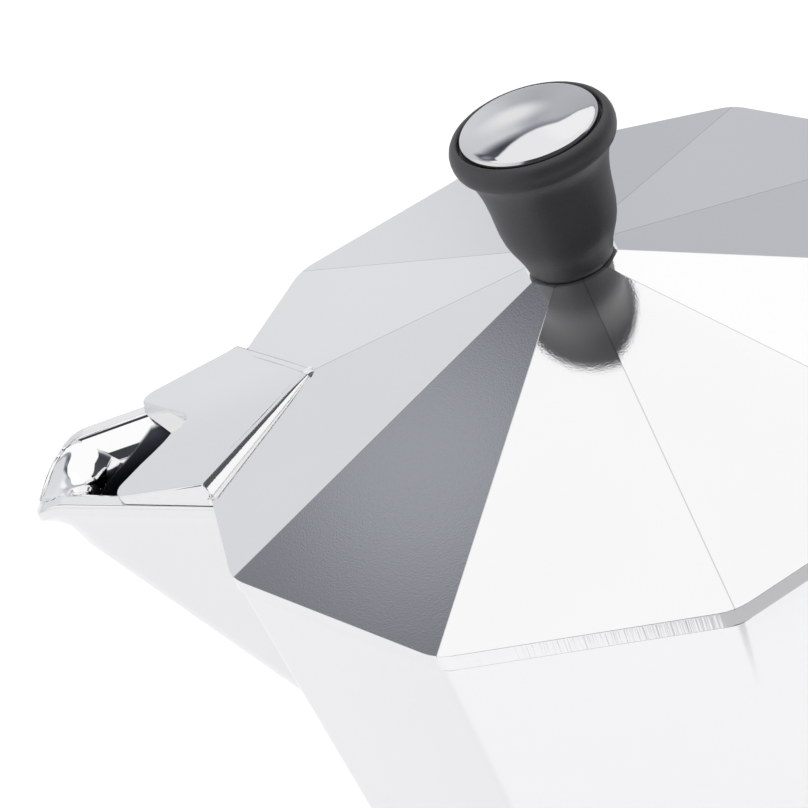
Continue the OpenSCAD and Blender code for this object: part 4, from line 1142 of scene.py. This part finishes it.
disc_profile += [(r, disc_z + 1.22 + 1.28 * (1 - (r / 7.4) ** 2))
                 for r in (7.2, 6.8, 6.2, 5.5, 4.8, 4.0, 3.2, 2.4, 1.6, 0.8)]
disc_profile += [(0, disc_z + 2.497)]
finish_piece(as_object(lathe(disc_profile, 128), "knob_domed_disc"), mirror_steel, "lid",
             ["knob_disc"], smooth=50)
for node, finish in (("knob_insert", brass), ("knob_screw", bright_steel),
                     ("knob_washer", bright_steel)):
    coat(node, finish)

# ============================================================== handle and pins
# The handle is moulded in the same black plastic: an arm, a rounded bend and a grip with
# softened flats. A steel pin holds it on the collector's tongue; another carries the lid.
handle_front, handle_top, handle_low, handle_back = 59.9, 179.02, 81.02, 112.0
arm_h, bend_r, grip_t, grip_w = 23.0, 22.0, 15.0, 18.5
bend_x = handle_back - bend_r
handle_outline = [(handle_front, handle_top - arm_h), (handle_front, handle_top)]
handle_outline += arc(bend_x, handle_top - bend_r, bend_r,
                      [math.radians(90 - 10 * i) for i in range(10)])
tip_r = grip_t * 0.4
tip_x = handle_back - 6.0 - tip_r
handle_outline += arc(tip_x, handle_low + tip_r, tip_r, [math.radians(-20 * i) for i in range(10)])
inner_r = bend_r - grip_t
handle_outline += arc(bend_x, handle_top - arm_h - inner_r, inner_r,
                      [math.radians(15 * i) for i in range(7)])
handle = as_object(extrude(handle_outline, -grip_w / 2, grip_w / 2, "Y"), "handle_moulding")
soft = handle.modifiers.new("soft sides", "BEVEL")
soft.width, soft.segments = 4.6 * MM, 5
soft.limit_method, soft.angle_limit = "ANGLE", math.radians(60)
plain_mesh(handle)
slot_cut = block("tongue_slot", (50, 76.15), (160.77, 174.27), -4.25, 4.25, "Y")
handle_hole = cross_hole("handle_hole", handle_pin_r, handle_pin_x, handle_pin_z)
combine(handle, [slot_cut, handle_hole], "DIFFERENCE")
finish_piece(handle, black_plastic, "collector", ["handle"], smooth=50)


def pin_along_y(name, radius, half_length, x, z, material, node):
    profile = [(0, -half_length), (radius - 0.5, -half_length), (radius - 0.15, -half_length + 0.15),
               (radius, -half_length + 0.5), (radius, half_length - 0.5),
               (radius - 0.15, half_length - 0.15), (radius - 0.5, half_length), (0, half_length)]
    bm = lathe(profile, 48)
    bm.transform(Matrix.Translation((x, 0, z)) @ Matrix.Rotation(math.pi / 2, 4, "X"))
    return finish_piece(as_object(bm, name), material, "collector", [node], smooth=40)


pin_along_y("hinge_steel_pin", hinge_pin_r, ear_out, hinge_x, hinge_z, bright_steel, "hinge_pin")
handle_pin_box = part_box("handle_pin")
pin_along_y("handle_steel_pin", handle_pin_r, handle_pin_box[1].y / MM, handle_pin_x, handle_pin_z,
            bright_steel, "handle_pin")

# ============================================================== camera
# A long lens close above the lid on the spout's side, turned so that the pot leans.
look_azimuth, look_elevation = math.radians(12.52447), math.radians(34.70469)
look_roll, look_pan = math.radians(17.81344), math.radians(-4.520088)
look_tilt = math.radians(-0.210037)
look_distance = 0.29487515
back = Vector((math.sin(look_azimuth) * math.cos(look_elevation),
               -math.cos(look_azimuth) * math.cos(look_elevation), math.sin(look_elevation)))
right = (-back).cross(Vector((0, 0, 1))).normalized()
aim = Matrix((right, right.cross(-back), back))
turn = aim
for angle, axis in ((look_pan, "Y"), (look_tilt, "X"), (look_roll, "Z")):
    turn = Matrix.Rotation(angle, 3, axis) @ turn
camera_data = bpy.data.cameras.new("camera")
camera_data.lens, camera_data.sensor_width = 114.83834, 36
camera_data.clip_start = 0.01
camera = bpy.data.objects.new("camera", camera_data)
stands_at = back * look_distance + Vector((0, 0, corner_z * MM))
camera.matrix_world = Matrix.Translation(stands_at) @ turn.transposed().to_4x4()
bpy.context.scene.collection.objects.link(camera)
bpy.context.scene.camera = camera

# ============================================================== studio
# A round pale floor under a soft dome that is white above a wandering edge. Below it the walls are
# white on the far side and dark behind the camera, which gives the metal its contrast.
scene = bpy.context.scene
scene.view_settings.view_transform = "Standard"
world = bpy.data.worlds.new("studio")
scene.world = world
world.use_nodes = True
sky = world.node_tree
sky.nodes.clear()
looking = wire(sky, "ShaderNodeTexCoord").outputs["Generated"]
east, north, up = (wire(sky, "ShaderNodeSeparateXYZ", None, Vector=looking).outputs[i]
                   for i in range(3))
bearing = calc(sky, "ARCTAN2", east, north)
height = calc(sky, "ARCSINE", up)
height = calc(sky, "DEGREES", height)
turned = ramp(sky, bearing, (-math.pi, math.pi))


def by_bearing(points, top):
    """A value that changes with the bearing; points are (degrees, value) and top scales the curve."""
    node = sky.nodes.new("ShaderNodeFloatCurve")
    curve = node.mapping.curves[0]
    places = [((a + 180) / 360, value / top) for a, value in points]
    curve.points[0].location, curve.points[1].location = places[0], places[-1]
    for place in places[1:-1]:
        curve.points.new(*place)
    for point in curve.points:
        point.handle_type = "VECTOR"
    node.mapping.update()
    sky.links.new(turned, node.inputs["Value"])
    return calc(sky, "MULTIPLY", node.outputs[0], float(top))


def patch(level, azimuth, elevation, inner, outer, value):
    """Mixes a soft round patch of light into the dome; angles are in degrees."""
    a, e = math.radians(azimuth), math.radians(elevation)
    towards = (math.sin(a) * math.cos(e), math.cos(a) * math.cos(e), math.sin(e))
    dot = wire(sky, "ShaderNodeVectorMath", {"operation": "DOT_PRODUCT"}, i0=looking,
               i1=towards).outputs["Value"]
    apart = calc(sky, "ARCCOSINE", dot)
    mask = ramp(sky, apart, (math.radians(inner), math.radians(outer)), (1.0, 0.0), soft=True)
    return mix(sky, "FLOAT", mask, level, value)


# lower edge of the overhead light, and the room below it: its level far from that edge, its
# level right under it, and how far below it the shade begins and ends
light_edge = by_bearing([(-180, 50), (-75, 51), (-60, 58), (-54, 57), (-43, 53), (-33, 52.8),
                         (-23, 51.5), (-13, 49.8), (-3, 47.5), (2, 46), (5, 43.5), (7.5, 39), (9, 32),
                         (10.5, 29), (13, 26.5), (18, 24.5), (30, 22), (74, 15), (86, 30), (112, 36),
                         (140, 48), (180, 50)], 90)
room = by_bearing([(-180, 0.06), (-170, 0.12), (-161, 0.75), (-142, 0.9), (-125, 1.0), (-90, 0.95),
                   (-72, 0.75), (-45, 0.79), (-39, 0.79), (-27, 0.84), (-19, 0.78), (-14, 0.62),
                   (-9, 0.55), (-1, 0.62), (9, 0.57), (74, 0.57), (86, 0.1), (180, 0.06)], 2)
shade = by_bearing([(-180, 0.06), (-170, 0.12), (-161, 0.75), (-142, 0.9), (-125, 0.95), (-90, 0.9),
                    (-72, 0.5), (-58, 0.2), (-50, 0.11), (-43, 0.13), (-38, 0.12), (-33, 0.08),
                    (-28, 0.09), (-23, 0.18), (-18, 0.28), (-8, 0.34), (0, 0.4), (5, 0.42), (9, 0.5),
                    (12, 0.5), (86, 0.1), (180, 0.06)], 2)
shade_from = by_bearing([(-180, 2), (-70, 8), (-54, 10), (-43, 9), (-38, 4), (-33, 2), (-28, 1),
                         (-20, 0.3), (180, 0.3)], 90)
shade_to = by_bearing([(-180, 12), (-54, 20), (-43, 19), (-38, 15), (-33, 13), (-28, 10), (-23, 8),
                       (-18, 6.5), (-8, 5.5), (180, 5)], 90)
under = calc(sky, "SUBTRACT", light_edge, height)
fade = ramp(sky, under, (shade_from, shade_to), soft=True)
room = patch(room, -17, 28, 3, 14, 1.0)
walls = mix(sky, "FLOAT", fade, shade, room)
walls = patch(walls, -48, 48.5, 1, 6, 0.38)
overhead = patch(1.08, 18, 45, 12, 20, 1.15)
lamp = ramp(sky, under, (0.3, -1.7), soft=True)
dome = mix(sky, "FLOAT", lamp, walls, overhead)
tint = mix(sky, "RGBA", dome, (0.80, 0.86, 1.0, 1), (1, 1, 1, 1))
lit = wire(sky, "ShaderNodeBackground", None, Color=tint, Strength=dome)
seen = wire(sky, "ShaderNodeBackground", None, Color=(1, 1, 1, 1), Strength=1.0)
path = wire(sky, "ShaderNodeLightPath").outputs
choice = wire(sky, "ShaderNodeMixShader", None, i0=path["Is Camera Ray"], i1=lit.outputs[0],
              i2=seen.outputs[0])
wire(sky, "ShaderNodeOutputWorld", None, Surface=choice.outputs[0])

floor_bm = bmesh.new()
bmesh.ops.create_circle(floor_bm, cap_ends=True, segments=128, radius=1100)
floor = as_object(floor_bm, "floor")
paper, paper_tree, paper_shader = new_material("floor_paper", Roughness=0.9, Specular_IOR_Level=0.1)
spot = here(paper_tree)
fibre = noise(paper_tree, spot, 900.0, 2.0)
paper_shade = ramp(paper_tree, fibre, result=(0.84, 0.88))
# Only reflections see a dark strip across the floor and a glow round the pot, which give the
# low faces of the metal their tones. The place is measured in metres along one bearing.
paths = wire(paper_tree, "ShaderNodeLightPath").outputs
place = wire(paper_tree, "ShaderNodeVectorMath", {"operation": "DOT_PRODUCT"}, i0=spot,
             i1=(0.575, -0.818, 0)).outputs["Value"]
dark_spot = 0.45
for begins, ends in ((0.178, 0.2), (0.42, 0.34)):
    edge = ramp(paper_tree, place, (begins, ends), soft=True)
    dark_spot = calc(paper_tree, "MULTIPLY", dark_spot, edge)
dark_spot = calc(paper_tree, "MULTIPLY", dark_spot, paths["Is Glossy Ray"])
left = calc(paper_tree, "SUBTRACT", 1.0, dark_spot)
paper_shade = calc(paper_tree, "MULTIPLY", paper_shade, left)
paper_color = wire(paper_tree, "ShaderNodeCombineColor", None, i0=paper_shade, i1=paper_shade,
                   i2=paper_shade).outputs[0]
paper_tree.links.new(paper_color, paper_shader.inputs["Base Color"])
away = wire(paper_tree, "ShaderNodeVectorMath", {"operation": "LENGTH"}, i0=spot).outputs["Value"]
near_glow = ramp(paper_tree, away, (0.3, 0.9), (0.27, -0.05))
front_glow = ramp(paper_tree, place, (-0.03, 0.09), (0.0, 0.11), soft=True)
near_glow = calc(paper_tree, "ADD", near_glow, front_glow)
mirrored_glow = calc(paper_tree, "MULTIPLY", paths["Is Glossy Ray"], near_glow)
mirrored_glow = calc(paper_tree, "MULTIPLY", mirrored_glow, left)
strength = calc(paper_tree, "MULTIPLY_ADD", paths["Is Camera Ray"], 0.36, mirrored_glow)
glow = wire(paper_tree, "ShaderNodeEmission", None, Color=(1, 1, 1, 1), Strength=strength).outputs[0]
brighter = wire(paper_tree, "ShaderNodeAddShader", None, i0=paper_shader.outputs[0], i1=glow).outputs[0]
paper_tree.links.new(brighter, paper_tree.nodes["Material Output"].inputs["Surface"])
floor.data.materials.append(paper)
